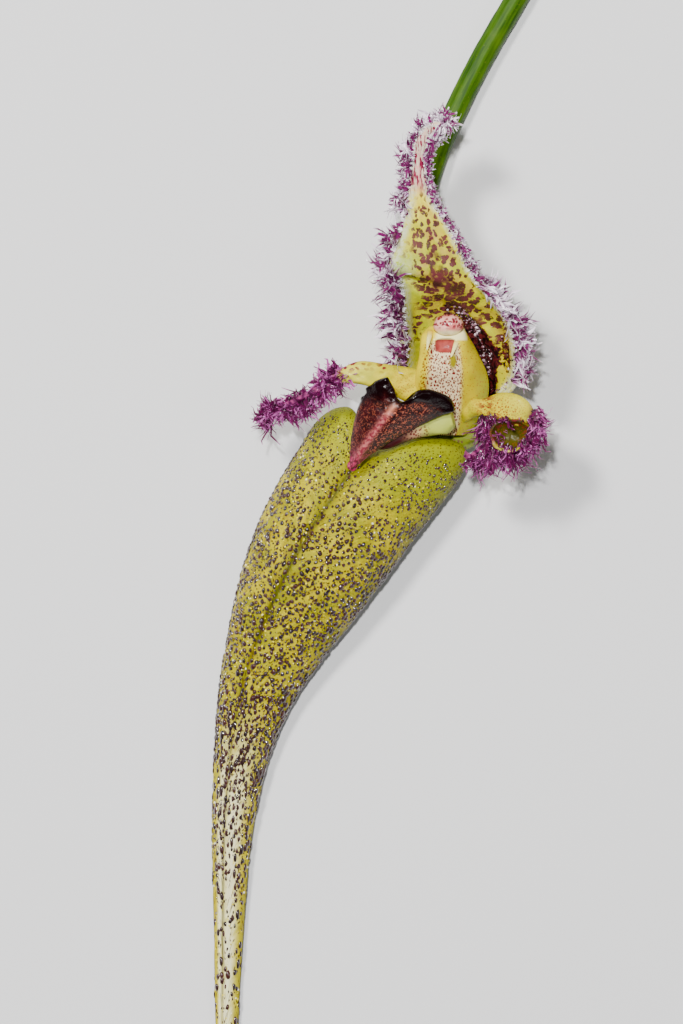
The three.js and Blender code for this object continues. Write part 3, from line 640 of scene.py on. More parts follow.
def hood_paint():
    p = Paint("hood_skin", roughness=0.55, specular=0.1, coat=0.06, coat_roughness=0.1, subsurface=0.06)
    p.base = p.mix(p.step(p.noise(0.5, 3.0, 0.6), 0.35, 0.7), (210, 200, 0), (170, 176, 0))
    p.over("pale", (232, 220, 50))
    p.over("green", (160, 182, 30))
    p.over("rosy", (238, 166, 158))
    blush = p.times("blotch", p.step(p.noise(0.8, 2.0), 0.4, 0.65, 0, 0.6))
    p.over(blush, (176, 112, 76), 0.75)
    # dark: the pocket's own dark maroon, partly painted shade beside the column, with a patch of painted
    # shade just above the anther cap.
    p.over("dark", (150, 104, 20), 0.8)
    frost = p.step(p.noise(2.6, 3.0, 0.6), 0.3, 0.55)
    p.over(p.times("margin", frost), (214, 218, 192), 0.75)
    warp = p.warped(1.5, 0.8)
    upper = p.dots(1.5, 0.54, 0.12, 0.92, p.stretched((1.3, 0.85, 1.0), 0.1, warp))
    lower = p.dots(1.2, 0.6, 0.1, 0.92, p.stretched((0.65, 1.55, 1.0), 0.5, warp))
    level = p.plus(p.mix("below", upper, lower), p.swing(p.noise(1.2, 2.0), 0.9))
    blot = p.step(p.plus(level, "blotch"), 1.1, 1.5)
    grainy = p.step(p.noise(2.2, 3.0, 0.6), 0.26, 0.44, 0.3, 1.0)
    p.over(p.times(blot, grainy), p.mottled(1.1, 0.35, 0.65, (58, 0, 34), (92, 18, 50)), 0.94)
    red = p.noise(1.9, 2.0, 0.5, 0.3, p.stretched((2.6, 0.5, 1.0), -0.1))
    p.over(p.times(p.step(red, 0.5, 0.57), "rosy"), (132, 24, 62))
    dark = p.step(p.plus("dark", p.swing(p.noise(2.6, 3.0, 0.6), 1.3)), 0.42, 0.6)
    p.over(dark, p.mottled(2.4, 0.42, 0.62, (20, 2, 4), (84, 22, 26), 3.0))
    grain = p.times(p.dots(3.2, 0.42, 0.1, 0.8), dark)
    return p.done(p.plus(p.noise(2.2, 4.0, 0.6), grain), 0.16, 0.7)


def fringe_paint(name, root, body, tip, dark):
    """Pale hairs with a coloured middle line, and dark ones coloured nearly to their tips."""
    p = Paint(name, roughness=0.4, specular=0.2, coat=0.6, coat_roughness=0.12)
    deep = p.step("tone", 0.46, 0.54)
    line = p.times(p.step("edge", 0.3, 0.75, 0.85, 0), p.step("along", 0.35, 0.8, 1, 0.1))
    full = p.times(p.step("edge", 0.7, 1.0, 1, 0.85), p.step("along", 0.8, 1.0, 1, 0.3))
    share = p.plus(p.times(deep, full), p.times(p.sum("SUBTRACT", 1.0, deep), line))
    p.base = p.mix(p.step("along", 0.1, 0.6), body, tip)
    p.over(share, p.mix(p.step("along", 0.0, 0.5), dark, root))
    return p.done()


def purple_paint(name):
    return fringe_paint(name, (88, 0, 62), (122, 0, 88), (198, 104, 176), (42, 0, 28))


def petal_paint():
    p = Paint("petal_skin", roughness=0.5, specular=0.12, coat=0.06, coat_roughness=0.1, subsurface=0.06)
    p.base = p.mottled(0.7, 0.35, 0.7, (206, 188, 0), (166, 166, 0), 3.0)
    p.over("pale", (228, 226, 90))
    p.over("golden", (232, 208, 30))
    p.over("spine", p.mottled(1.5, 0.4, 0.6, (150, 62, 112), (74, 0, 58)))
    # olive: the hollow's dark olive, partly the petal's own colour and partly painted shade inside the
    # hollow.
    p.over("olive", p.mix(p.noise(0.9, 2.0), (70, 64, 0), (34, 34, 0)), 0.95)
    small = p.dots(1.6, 0.42, 0.08, 0.85, p.stretched((0.75, 1.3, 1.0), 0.3, p.warped(1.5, 0.6)))
    p.over(p.times(small, "speck"), (120, 14, 40))
    p.over(p.times(p.dots(4.4, 0.36, 0.08, 0.8), "fine"), (150, 50, 24))
    return p.done(p.noise(2.2, 3.0), 0.12, 0.6)


def column_paint():
    p = Paint("column_skin", roughness=0.5, specular=0.12, coat=0.06, coat_roughness=0.08, subsurface=0.06)
    p.base = p.mottled(0.5, 0.35, 0.7, (228, 206, 0), (206, 184, 0))
    p.over("green", (178, 182, 0))
    p.over("blush", (255, 228, 184))
    near = p.dots(3.9, 0.42, 0.07, 0.94, p.stretched((1.25, 0.9, 1.0), 0.1, p.warped(2.0, 0.35)))
    p.over(p.times(near, "speck"), (120, 14, 22))
    p.over(p.times(p.dots(3.0, 0.2, 0.06, 0.7), "flank"), (196, 130, 0))
    p.over("cream", (252, 240, 170))
    p.over("red", p.mix(p.noise(2.0, 2.0), (188, 90, 78), (128, 34, 38)))
    p.over("olive", (150, 138, 0))
    return p.done(p.noise(2.6, 3.0), 0.08, 0.5)


def tooth_paint():
    p = Paint("column_teeth", roughness=0.3, specular=0.45, coat=0.2, subsurface=0.1)
    p.base = p.mix(p.step("along", 0.0, 0.6), (232, 200, 30), (252, 240, 160))
    p.over(p.step(p.noise(2.0, 2.0), 0.5, 0.75, 0, 0.3), (220, 180, 40))
    return p.done()


def cap_paint():
    p = Paint("anther_cap_skin", roughness=0.3, specular=0.45, coat=0.2, coat_roughness=0.12, subsurface=0.1)
    p.base = p.mottled(0.9, 0.4, 0.65, (246, 178, 158), (224, 120, 112))
    p.over("cream", (252, 236, 180))
    p.over(p.times(p.dots(2.8, 0.5, 0.08, 0.95, p.warped(2.0, 0.5)), "speck"), (128, 14, 36))
    return p.done(p.noise(3.0, 2.0), 0.08, 0.5)


def lip_paint():
    p = Paint("lip_skin", roughness=0.42, specular=0.2, coat=0.08, coat_roughness=0.08)
    p.base = p.mottled(0.8, 0.35, 0.7, (56, 0, 6), (32, 0, 3))
    # A net of pale lines around small dark spots.
    near = p.cells(6.0, p.warped(3.0, 0.35), kind="3D")
    net = p.step(p.plus(near, p.swing(p.noise(2.2, 2.0), 0.8)), 0.6, 0.74)
    flecks = p.times(net, "flank")
    p.over(flecks, (206, 108, 78), 0.75)
    ridge = p.mottled(3.4, 0.4, 0.6, (196, 108, 104), (134, 40, 56), 3.0)
    p.over("ridge", p.mix("high", ridge, (222, 140, 106)))
    p.over("tip", p.mottled(4.0, 0.45, 0.6, (92, 0, 36), (190, 50, 96)))
    p.over("rim", (14, 0, 2))
    p.put(p.step("rim", 0.0, 1.0, 0.4, 0.2), p.shader.inputs["Roughness"])
    return p.done(p.plus(p.noise(3.4, 3.0), p.times(flecks, 0.5)), 0.1, 0.6)


def keel_paint():
    p = Paint("lip_keel_skin", roughness=0.5, specular=0.25, subsurface=0.05)
    p.base = p.mix("green", (196, 150, 112), (178, 188, 74))
    p.over(p.times(p.dots(3.6, 0.42, 0.07, 0.9), "speck"), (96, 12, 22))
    # Painted shade: the keel's front part, tucked under the lip, is darkened to maroon.
    p.over("deep", (60, 4, 8))
    return p.done(p.noise(2.0, 2.0), 0.08, 0.5)


def stalk_paint():
    p = Paint("stalk_skin", roughness=0.5, specular=0.12, subsurface=0.04)
    pith = p.mix(p.noise(3.0, 2.0), (206, 210, 130), (160, 150, 80))
    p.unroll()
    fibre = p.noise(1.0, 3.0, 0.55, 0.0, p.stretched((2.6, 0.16, 1.0)))
    p.base = p.mix(p.step(fibre, 0.35, 0.7), (60, 96, 0), (30, 66, 0))
    p.over(p.step(p.noise(0.25, 2.0), 0.4, 0.7, 0, 0.5), (86, 118, 0))
    p.over(p.dots(1.5, 0.14, 0.05, 0.4), (74, 96, 14))
    p.over("cut", pith)
    return p.done(fibre, 0.08, 0.5)


def ovary_paint():
    p = Paint("ovary_skin", roughness=0.45, specular=0.3, coat=0.1, subsurface=0.08)
    p.unroll()
    p.base = p.mottled(0.5, 0.35, 0.7, (150, 164, 30), (112, 134, 14), 3.0)
    p.over(p.dots(1.7, 0.28, 0.06, 0.7, p.stretched((1.2, 0.6, 1.0))), (110, 46, 50), 0.8)
    p.over("rib", (196, 200, 110), 0.4)
    return p.done(p.noise(2.0, 3.0), 0.08, 0.5)


def bract_paint():
    p = Paint("bract_skin", roughness=0.6, specular=0.35, subsurface=0.05)
    fibre = p.noise(1.0, 3.0, 0.55, 0.0, p.stretched((3.2, 0.25, 3.2)))
    p.base = p.mix(p.step(fibre, 0.35, 0.7), (172, 138, 78), (126, 92, 46))
    p.over("dry", (94, 62, 34))
    return p.done(fibre, 0.1, 0.6)


# ---------------------------------------------------------------- the tongue of joined lateral sepals


def neckline_row(angle):
    return NOTCH_ROW - keyed(NECKLINE, np.degrees(angle)) / TONGUE_ROW


def tongue_row(place, angle):
    top = neckline_row(angle)
    return top + (len(TONGUE) - 1 - top) * place


def from_seam_mm(row, angle, half):
    """How far to the right of the middle seam a point of the tongue lies."""
    return half * (np.sin(angle) - mixed(-0.23, -0.4, np.clip((row - NOTCH_ROW) / 4, 0, 1)))


def tongue_face(place, angle):
    """Points of the tongue's outer face; place is 0 at the neckline and 1 at the tail's end."""
    row = tongue_row(place, angle)
    x, y, half = np.moveaxis(along(TONGUE, row), -1, 0)
    ahead = along(TONGUE, np.minimum(row + 0.05, len(TONGUE) - 1))
    behind = along(TONGUE, np.maximum(row - 0.05, 0))
    way = unit((ahead - behind)[..., :2])
    closes, rows = TAIL_CLOSES
    half = half * np.sqrt(np.clip(1 - np.clip((row - closes) / rows, 0, 1) ** 2, 0.02, 1))
    from_rim = (row - neckline_row(angle)) * TONGUE_ROW
    roll = 1 - np.sqrt(np.clip(1 - np.clip(1 - from_rim / RIM_ROLL, 0, 1) ** 2, 0, 1))
    from_seam = from_seam_mm(row, angle, half)
    deep = np.clip(1 - (row - 1.6) / 2.2, 0, 1)
    groove = 0.16 * np.minimum(1, half / 3) + 0.5 * deep
    sunk = (np.abs(angle) < FRONT) * (0.9 * deep * bump(from_seam, 2.4) + groove * bump(from_seam, 0.62))
    sunk = sunk + RIM_DROP * roll * np.maximum(0, np.cos(angle))
    lift = REST_CUT * rise(row, 5, 3)
    z = lift + TONGUE_TALL * half * (np.cos(angle) - math.cos(TONGUE_ROLL)) - sunk
    flare = LOBE_FLARE * rise(angle, 0.5, 0.6) * fall(row, 0.9, 1.6)
    across = half * np.sin(angle) * (1 - RIM_NARROWER * roll + flare)
    return np.stack([x - way[..., 1] * across, y + way[..., 0] * across, z], axis=-1)


def build_tongue():
    rim = spread(0, 0.09, 24, 0.004, 4)[:-6]
    tip = np.linspace(0.985, 1, 10)
    places = np.unique(np.r_[rim, np.linspace(0.088, 0.62, 190), np.linspace(0.624, 1, 90)[:-4], tip])
    angles = spread(-TONGUE_ROLL, TONGUE_ROLL, 132, 0.07, 4)
    u, a = np.meshgrid(places, angles, indexing="ij")
    grid = tongue_face(u, a)
    row = tongue_row(u, a)
    half = along(TONGUE, row)[..., 2]
    round_mm = a * half
    down_mm = travelled(grid)
    thick = np.minimum(TONGUE_THICK, TAIL_THICK_SHARE * half)
    relief = 0.05 * ripple(round_mm, down_mm, 3) * rise(row, 1.5, 2) * np.minimum(1, half / 3)
    from_seam = from_seam_mm(row, a, half)
    # The seam's dark line, partly its own colour and partly painted shade in the groove.
    seam = bump(from_seam, 0.26) * fall(row, 4.5, 2.5)
    seam = seam + 0.8 * bump(from_seam, 0.1) * rise(row, 5, 2) * fall(row, 10, 1.2)
    marks = {
        "round": round_mm,
        "down": -down_mm,
        "tail": rise(row, 5.2, 3.2),
        # crest: partly the tail's own cream, partly a painted highlight down its middle and in a narrow
        # streak to its left.
        "crest": np.clip(bump(a, 0.42) + 0.9 * bump(a + 0.66, 0.17), 0, 1) * rise(row, 6.2, 2.3),
        "lobe": fall(row, 0.9, 1.9),
        # under: painted shade on the flanks where they roll under, reaching further in on the right.
        "under": rise(np.abs(a + 0.12), 1.1, 0.7),
        "seam": seam * (np.abs(a) < FRONT),
        # A soft band of painted shade along both sides of the seam.
        "seam_painted_shade": bump(from_seam, 1.0) * (np.abs(a) < FRONT) * fall(row, 4, 4),
        "spotty": 0.25 + 0.75 * rise(row, 1.6, 1.8),
    }
    piece = blade("tongue", grid, thick, relief, tongue_paint(), marks, under=4)
    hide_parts("lateral_sepals")


def domes(name, face, a, b, radius, long_way, random, material):
    """Small raised domes of uneven outline on a face of a and b, longer by long_way along a."""
    base = face(a, b)
    down = unit(face(a + NUDGE, b) - face(a - NUDGE, b))
    normal = unit(np.cross(down, face(a, b + NUDGE) - face(a, b - NUDGE)))
    side = unit(np.cross(normal, down))
    count, sides = len(base), 7
    turn = circle(sides) + random.uniform(0, 2, (count, 1))
    reach = radius[:, None] * (1 + 0.34 * random.uniform(-1, 1, (count, sides)))
    flat = (np.cos(turn) * reach)[..., None] * side[:, None]
    flat = flat + (np.sin(turn) * reach * long_way[:, None])[..., None] * down[:, None]
    middle = base[:, None]
    up = (normal * radius[:, None])[:, None]
    rings = [middle + flat - 0.2 * up, middle + 0.8 * flat + 0.4 * up, middle + 0.62 * up]
    points = np.concatenate(rings, axis=1)
    around = [(k, (k + 1) % sides) for k in range(sides)]
    walls = [(k, m, sides + m, sides + k) for k, m in around]
    tops = [(sides + k, sides + m, 2 * sides) for k, m in around]
    faces = repeated(walls, count, points.shape[1]) + repeated(tops, count, points.shape[1])
    make_piece(name, points, faces, material, {"tone": random.random(count)[:, None]})


CELL = 0.8
NEIGHBOURS = list(itertools.product((-1, 0, 1), repeat=3))


def apart(places, radius, share):
    """Picks, largest first, the places that stand at least share of their radii apart."""
    kept = []
    cells = {}
    for k in np.argsort(-radius):
        x, y, z = np.floor(places[k] / CELL).astype(int)
        close = [m for dx, dy, dz in NEIGHBOURS for m in cells.get((x + dx, y + dy, z + dz), ())]
        if close:
            away = np.linalg.norm(places[close] - places[k], axis=1)
            if (away < share * (radius[k] + radius[close])).any():
                continue
        cells.setdefault((x, y, z), []).append(k)
        kept.append(k)
    return np.array(kept)


def build_warts():
    """Small raised glossy warts, larger and denser down the tongue."""
    random = np.random.default_rng(5)
    tries = 60000
    place = random.uniform(0.02, 0.995, tries)
    angle = random.uniform(-2.0, 2.0, tries)
    row = tongue_row(place, angle)
    half = along(TONGUE, row)[..., 2]
    low = rise(row, 1.0, 2.4)
    tail = rise(row, 6.0, 2.5)
    radius = (0.07 + 0.21 * random.random(tries) ** 1.8) * mixed(0.58, 1.0, low) * mixed(1, 0.84, tail)
    # The area that a step in place and angle covers shrinks with the half width.
    chance = half / TONGUE_WIDEST * mixed(0.3, 0.7, low) * mixed(1, 0.3, rise(row, 6, 4.5))
    cloud = ripple(angle * half, place * TONGUE_LONG, 8, 7, 7.0, 2.0)
    knot = ripple(angle * half, place * TONGUE_LONG, 9, 9, 2.2, 0.8)
    chance = chance * mixed(np.clip(0.85 + 0.28 * cloud + 0.4 * knot, 0.1, 1.8), 0.9, 0.8 * tail)
    on_seam = (np.abs(from_seam_mm(row, angle, half)) < 0.25) & (row < 6)
    chance = np.where(on_seam, 0.3 * chance, chance)
    chance = chance * (1 - 0.45 * tail * rise(np.abs(angle), 0.7, 0.4))
    chance = chance * (1 - 0.5 * rise(np.abs(angle), 1.0, 0.5))
    keep = random.random(tries) < chance
    place, angle, radius, row = place[keep], angle[keep], radius[keep], row[keep]
    kept = apart(tongue_face(place, angle), radius, 0.86)
    place, angle, radius, row = place[kept], angle[kept], radius[kept], row[kept]
    long_way = mixed(1.0, 1.8, rise(row, 5, 3)) * random.uniform(0.85, 1.35, len(kept))
    paint = wart_paint()
    domes("tongue_wart", tongue_face, place, angle, radius, long_way, random, paint)


def build_grains():
    """Tiny raised grains between the warts; their palest colours, up to near white, are painted glints."""
    random = np.random.default_rng(6)
    tries = 9000
    place = random.uniform(0.03, 0.99, tries)
    angle = random.uniform(-1.5, 1.5, tries)
    row = tongue_row(place, angle)
    half = along(TONGUE, row)[..., 2]
    cloud = ripple(angle * half, place * TONGUE_LONG, 10, 8, 3.4, 0.9)
    chance = np.clip(0.25 + 0.55 * cloud, 0.02, 1) * rise(row, 0.6, 2) * mixed(0.7, 1.2, rise(row, 2, 3))
    keep = random.random(tries) < half / TONGUE_WIDEST * chance
    place, angle = place[keep], angle[keep]
    radius = 0.05 + 0.08 * random.random(len(place)) ** 2
    kept = apart(tongue_face(place, angle), radius, 1.2)
    place, angle, radius = place[kept], angle[kept], radius[kept]
    long_way = random.uniform(0.8, 1.5, len(kept))
    paint = grain_glint_paint()
    domes("tongue_grain", tongue_face, place, angle, radius, long_way, random, paint)


# ---------------------------------------------------------------- fringes


def ribbons(name, roots, ways, normals, lengths, widths, tones, material, seed, wave=0.1, group=1):
    """Flat, folded hairs, one for each root; the hairs of a group curl the same way."""
    random = np.random.default_rng(seed)
    count = len(roots)
    ways = unit(ways)
    side = unit(np.cross(ways, normals) + 1e-6)
    up = np.cross(side, ways)
    together = np.arange(count) // group
    bend_side, bend_up = np.clip(random.normal(0, CURL, (2, together[-1] + 1)), -0.7, 0.7)[:, together]
    bend_side = bend_side + random.normal(0, 0.12, count)
    bend_up = bend_up + random.normal(0, 0.12, count)
    phase = random.uniform(0, FULL_TURN, count)
    facing = random.normal(0, 0.7, count)
    twist = random.normal(0, 1.1, count)
    points = np.empty((count, len(HAIR), 3, 3))
    for k, (share, wide) in enumerate(HAIR):
        ahead = share - 0.5 * bend_side**2 * share**3
        aside = bend_side * share**2.6 + wave * np.sin(FULL_TURN * 1.3 * share + phase) * share
        above = bend_up * share**2.6
        reach = ways * ahead[:, None] + side * aside[:, None] + up * above[:, None]
        centre = roots + reach * lengths[:, None]
        turn = (twist * share + facing)[:, None]
        cross = side * np.cos(turn) + up * np.sin(turn)
        half = (widths * wide / 2)[:, None]
        points[:, k, 0] = centre - cross * half
        points[:, k, 1] = centre + np.cross(cross, ways) * half * 0.7
        points[:, k, 2] = centre + cross * half
    points[..., 2] = np.minimum(points[..., 2], TOP)
    pattern = []
    for a in range(0, 3 * len(HAIR) - 3, 3):
        pattern += [(a, a + 1, a + 4, a + 3), (a + 1, a + 2, a + 5, a + 4)]
    marks = {
        "along": np.array(HAIR)[:, :1],
        "tone": tones[:, None, None],
        "edge": np.array([1.0, 0.0, 1.0]),
    }
    make_piece(name, points, repeated(pattern, count, 3 * len(HAIR)), material, marks)


def tufts(name, groups, random, scatter, widths, material, seed, wave=0.14, shortest=0.0):
    """Hairs in tufts that lean together towards their tips.

    groups: for each, the tufts' middles, their ways outward, their lengths and their tones."""
    centres, outward, lengths, tones = (np.concatenate(part) for part in zip(*groups))
    index = np.repeat(np.flatnonzero(lengths > shortest), TUFT)
    count = len(index)
    reach = lengths[index][:, None]
    roots = centres[index] + random.normal(0, 1, (count, 3)) * TUFT_SPREAD
    tips = centres[index] + unit(outward[index]) * reach * 1.1 + random.normal(0, scatter, (count, 3)) * reach
    length = lengths[index] * random.uniform(0.5, 1.15, count)
    tone = np.clip(tones[index] + random.normal(0, 0.14, count), 0, 1)
    normals = unit(UP + random.normal(0, 0.4, (count, 3)))
    width = random.uniform(*widths, count)
    ribbons(name, roots, tips - roots, normals, length, width, tone, material, seed, wave, TUFT)


# ---------------------------------------------------------------- the hood


def hood_face(row, s):
    """Points of the hood's inner face; s is -1 at its left margin and 1 at its right."""
    lx, ly, lz, rx, ry, rz, depth = np.moveaxis(along(HOOD, row), -1, 0)
    width = np.hypot(rx - lx, ry - ly)
    f = (np.sin(QUARTER * s) * (1 - 2 * np.minimum(HOOD_INSET, 0.04 * width) / width) + 1) / 2
    margin = np.where(s < 0, lz, rz)
    z = margin + (depth - margin + HOOD_LIFT) * np.cos(QUARTER * s)
    return np.stack([lx + (rx - lx) * f, ly + (ry - ly) * f, z], axis=-1)


def build_hood():
    rows = spread(0, len(HOOD) - 1, 190, 0.12)
    r, s = np.meshgrid(rows, spread(-1, 1, 90, 0.06)[::-1], indexing="ij")
    grid = hood_face(r, s)
    x, y = grid[..., 0], grid[..., 1]
    fold = lookup(POCKET_FOLD, y)
    veins = np.cos(s * math.pi * 5.5) * 0.05 * rise(r, 1, 2) * fall(r, 9, 2)
    creases = spots(
        x, y,
        (0.5, 6.0, 23.4, 2.4, 0.9, -0.3), (-0.6, 6.8, 21.7, 2.8, 0.55, -0.3),
        (0.14, 9.5, 20.6, 4.5, 0.4, -0.5), (-0.14, 9.8, 19.7, 4.5, 0.4, -0.5),
    )
    ridge = 0.45 * bump(x - fold, 0.55) * rise(y, 11, 1.5) * fall(y, 18, 1.5)
    relief = veins + creases + ridge + 0.07 * ripple(x, y, 21, 8, 3.5, 0.9)
    width = np.linalg.norm(hood_face(rows, -np.ones_like(rows)) - hood_face(rows, np.ones_like(rows)), axis=1)
    margin_mm = (1 - np.abs(np.sin(QUARTER * s))) * width[:, None] / 2
    bulge = spot(x, y, 1, 5.6, 23.1, 1.5, 1.7)
    blotch = spots(
        x, y,
        (1.28, 8.9, 24.4, 2.4, 2.6, 0.15), (1.0, 9.8, 21.8, 3.2, 1.2, -0.3),
        (0.75, 9.4, 19.4, 1.9, 1.6, -0.4), (0.8, 12.0, 19.8, 3.2, 1.1, -0.5),
        (0.84, 8.2, 28.4, 1.5, 2.1), (0.9, 16.0, 16.8, 1.2, 2.4, 0.5), (0.6, 7.2, 17.6, 0.7, 1.6),
    )
    # The pocket between the column and the fold: its own dark maroon, partly painted shade from the column
    # beside it.
    pocket = rise(fold + 0.5 - x, 0, 0.9) * rise(x, 10.6, 1.6) * fall(y - 0.12 * (14 - x), 16.8, 2.0)
    marks = {
        "blotch": np.clip(blotch, 0, 1.35) * rise(margin_mm, 0.25, 0.8) * (1 - bulge),
        "below": rise(22.4 - y - 0.25 * (x - 7), 0, 1.2),
        "pale": rise(y, 26.5, 3.0) * fall(y, 33, 3),
        "rosy": rise(y, 29.8, 2.2),
        "green": np.clip(0.9 * bulge + spot(x, y, 0.5, 5.8, 17.5, 1.3, 5), 0, 1),
        "margin": np.clip(fall(margin_mm, 0.3, np.where(s < 0, 0.9, 0.6)) + 0.5 * bulge, 0, 1),
        # dark: the pocket, a patch of painted shade just above the anther cap, and a dark mottle in the skin
        # right of the pocket.
        "dark": pocket + spots(x, y, (0.55, 10.4, 19.0, 2.0, 0.8, -0.35), (0.62, 16.2, 14.6, 0.9, 3.2, 0.15)),
    }
    piece = blade("hood", grid, HOOD_THICK, relief, hood_paint(), marks)
    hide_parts("dorsal_sepal")


def build_hood_beads():
    """Glistening grains along the fold of the hood's dark pocket: dark ones in their own colour, pale mauve
    to near-white ones painted glints.
    """
    random = np.random.default_rng(19)
    tries = 26000
    row = random.uniform(0.8, 4.6, tries)
    s = random.uniform(-0.2, 0.96, tries)
    x, y, _ = hood_face(row, s).T
    from_fold = x - lookup(POCKET_FOLD, y)
    chance = 0.9 * bump(from_fold + 0.15, 0.5) + 0.2 * bump(from_fold + 0.9, 0.8)
    keep = random.random(tries) < chance * rise(y, 10.8, 0.8) * fall(y, 18.4, 1.2)
    row, s = row[keep], s[keep]
    radius = random.uniform(0.06, 0.15, len(row))
    kept = apart(hood_face(row, s), radius, 0.8)
    row, s, radius = row[kept], s[kept], radius[kept]
    long_way = random.uniform(0.8, 1.5, len(row))

    def turned_face(s, row):
        return hood_face(row, s)

    domes("hood_beads", turned_face, s, row, radius, long_way, random, bead_glint_paint())


def build_hood_fringe():
    random = np.random.default_rng(12)
    groups = []
    for side, reach_at, purple in ((-1, FRINGE_LEFT, 0.66), (1, FRINGE_RIGHT, 0.7)):
        line = np.linspace(1.3, 12.0, 900)
        edge = hood_face(line, np.full_like(line, side))
        inner = hood_face(line, np.full_like(line, side * 0.7))
        way = travelled(edge)
        for layer, (lifted, height) in enumerate(FRINGE_LAYERS):
            at = np.arange(random.uniform(0, 0.3), way[-1], 0.42)
            count = len(at)
            at = at + random.uniform(-0.16, 0.16, count)
            here = np.stack([np.interp(at, way, edge[:, k]) for k in range(3)], axis=1)
            back = np.stack([np.interp(at, way, inner[:, k]) for k in range(3)], axis=1)
            out = unit((here - back) * [1, 1, 0])
            lift = lifted + random.normal(0, 0.18, count)
            reach = lookup(reach_at, here[:, 1])
            uneven = 1 + 0.22 * ripple(here[:, 0] + 9 * layer, here[:, 1], 17 + layer, 6, 2.6, 0.9)
            lean = 0.45 * ripple(here[:, 0], here[:, 1], 25, 6, 3.0, 1.2) - 0.1
            here = here + out * random.uniform(-0.12, 0.08, (count, 1)) + UP * height
            lean = lean + random.normal(0, 0.2, count)
            lengths = reach * np.clip(uneven, 0.55, 1.12) * random.uniform(0.75, 1.0, count)
            tones = np.where(random.random(count) < purple, DARK, LIGHT)
            groups.append((here, unit(out + np.stack([0 * lean, lean, lift], axis=1)), lengths, tones))
    # The tuft at the hood's tip.
    count = 24
    tip = hood_face(np.full(count, 11.9), random.uniform(-0.9, 0.9, count))
    out = unit(random.normal(0, 1, (count, 3)) * [1, 0.7, 0.5] + [0.9, -0.1, 0.2])
    lengths = random.uniform(1.0, 1.9, count)
    groups.append((tip, out, lengths, np.where(random.random(count) < 0.65, DARK, LIGHT)))
    paint = fringe_paint("hood_fringe_hairs", (110, 8, 84), (196, 134, 192), (252, 240, 252), (54, 0, 38))
    tufts("hood_fringe", groups, random, 0.15, (0.24, 0.44), paint, 13, 0.12, 0.4)


def build_hood_down():
    """Short pale down on the hood's face along its margins."""
    random = np.random.default_rng(14)
    count = 4200
    row = random.uniform(1.6, 11.8, count)
    side = random.choice([-1, 1], count, p=[0.6, 0.4])
    s = side * (1 - (np.abs(random.normal(0, 0.5, count)) + 0.02) / lookup(DOWN_WIDTH, row))
    root = hood_face(row, s)
    normal = unit(np.cross(hood_face(row, s + NUDGE) - root, hood_face(row + NUDGE, s) - root))
    out = unit(root - hood_face(row, s - side * 0.2))
    way = unit(out * random.uniform(0.2, 1.2, (count, 1)) + normal * 0.8 + random.normal(0, 0.35, (count, 3)))
    lengths = random.uniform(0.15, 0.45, count)
    widths = random.uniform(0.08, 0.15, count)
    tones = random.uniform(0, 0.7, count) ** 1.5
    root = root - normal * 0.05
    pale = (226, 226, 206), (232, 230, 226), (252, 250, 252)
    paint = fringe_paint("hood_down_hairs", *pale, (196, 150, 190))
    ribbons("hood_down", root, way, normal, lengths, widths, tones, paint, 15)


# ---------------------------------------------------------------- the petals


def strap_face(strap, row, s):
    x, y, z, half, ax, ay, az = np.moveaxis(along(strap, row), -1, 0)
    across = unit(np.stack([ax, ay, az], axis=-1))
    return np.stack([x, y, z], axis=-1) - across * (half * s)[..., None]


def petal_grid(strap, turned=False):
    """turned is for a strap that runs to the right: its front face is then the other one."""
    across = spread(-1, 1, 34, 0.3)
    rows = spread(0, len(strap) - 1, 110, 0.12)
    r, s = np.meshgrid(rows, across[::-1] if turned else across, indexing="ij")
    grid = strap_face(strap, r, s)
    if turned:
        grid = grid + unit(np.cross(np.gradient(grid, axis=0), np.gradient(grid, axis=1))) * BLADE
    return grid, r, s


def petal_hairs(name, strap, plan, material, seed, raised=1):
    """Tufts on a strap by its plan; raised is -1 where they grow from under it."""
    random = np.random.default_rng(seed)
    groups = []
    for rows, places, count, length, lean, dark in plan:
        row = random.uniform(*rows, count)
        centre = strap_face(strap, row, random.uniform(*places, count))
        centre[:, 2] += random.uniform(0.1, BLADE - 0.1, count) * raised
        turn = random.uniform(0, FULL_TURN, count)
        spin = np.stack([np.cos(turn), np.sin(turn), random.normal(0.1, 0.45, count)], axis=1)
        lengths = length * random.uniform(0.6, 1.2, count)
        tones = np.where(random.random(count) < dark, PETAL_DARK, LIGHT)
        groups.append((centre, unit(spin + lean), lengths, tones))
    tufts(name, groups, random, 0.14, (0.16, 0.34), material, seed + 1)


def build_petal_left():
    strap = np.array(PETAL_LEFT)
    strap[1:3, 1] -= FOOT_LOWER
    strap[1:3, 3] += FOOT_FULLER
    grid, r, s = petal_grid(strap)
    x, y = grid[..., 0], grid[..., 1]
    relief = 0.25 * (1 - s**2) * fall(r, 3.4, 1) + 0.06 * ripple(x, y, 31, 7, 3, 0.9)
    specks = spots(x, y, (1, 0.9, 13.4, 1.5, 0.5), (1, 4.0, 13.3, 0.8, 0.5), (1, -0.6, 13.0, 0.8, 0.6))
    marks = {
        "pale": spot(x, y, 0.6, 1.0, 12.6, 2.4, 1.4),
        "golden": spot(x, y, 0.7, 6.5, 11.3, 2.2, 1.6),
        "spine": rise(r, 3.7, 0.6),
        "olive": 0.0,
        "speck": np.clip(1.2 * specks, 0, 1),
        "fine": spot(x, y, 0.6, 6.0, 11.2, 1.5, 1.4),
    }
    piece = blade("left_petal", grid, BLADE, relief, petal_paint(), marks)
    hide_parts("petal_left")
    petal_hairs("left_petal_fringe", PETAL_LEFT[1:], LEFT_HAIRS, purple_paint("left_fringe_hairs"), 41, -1)


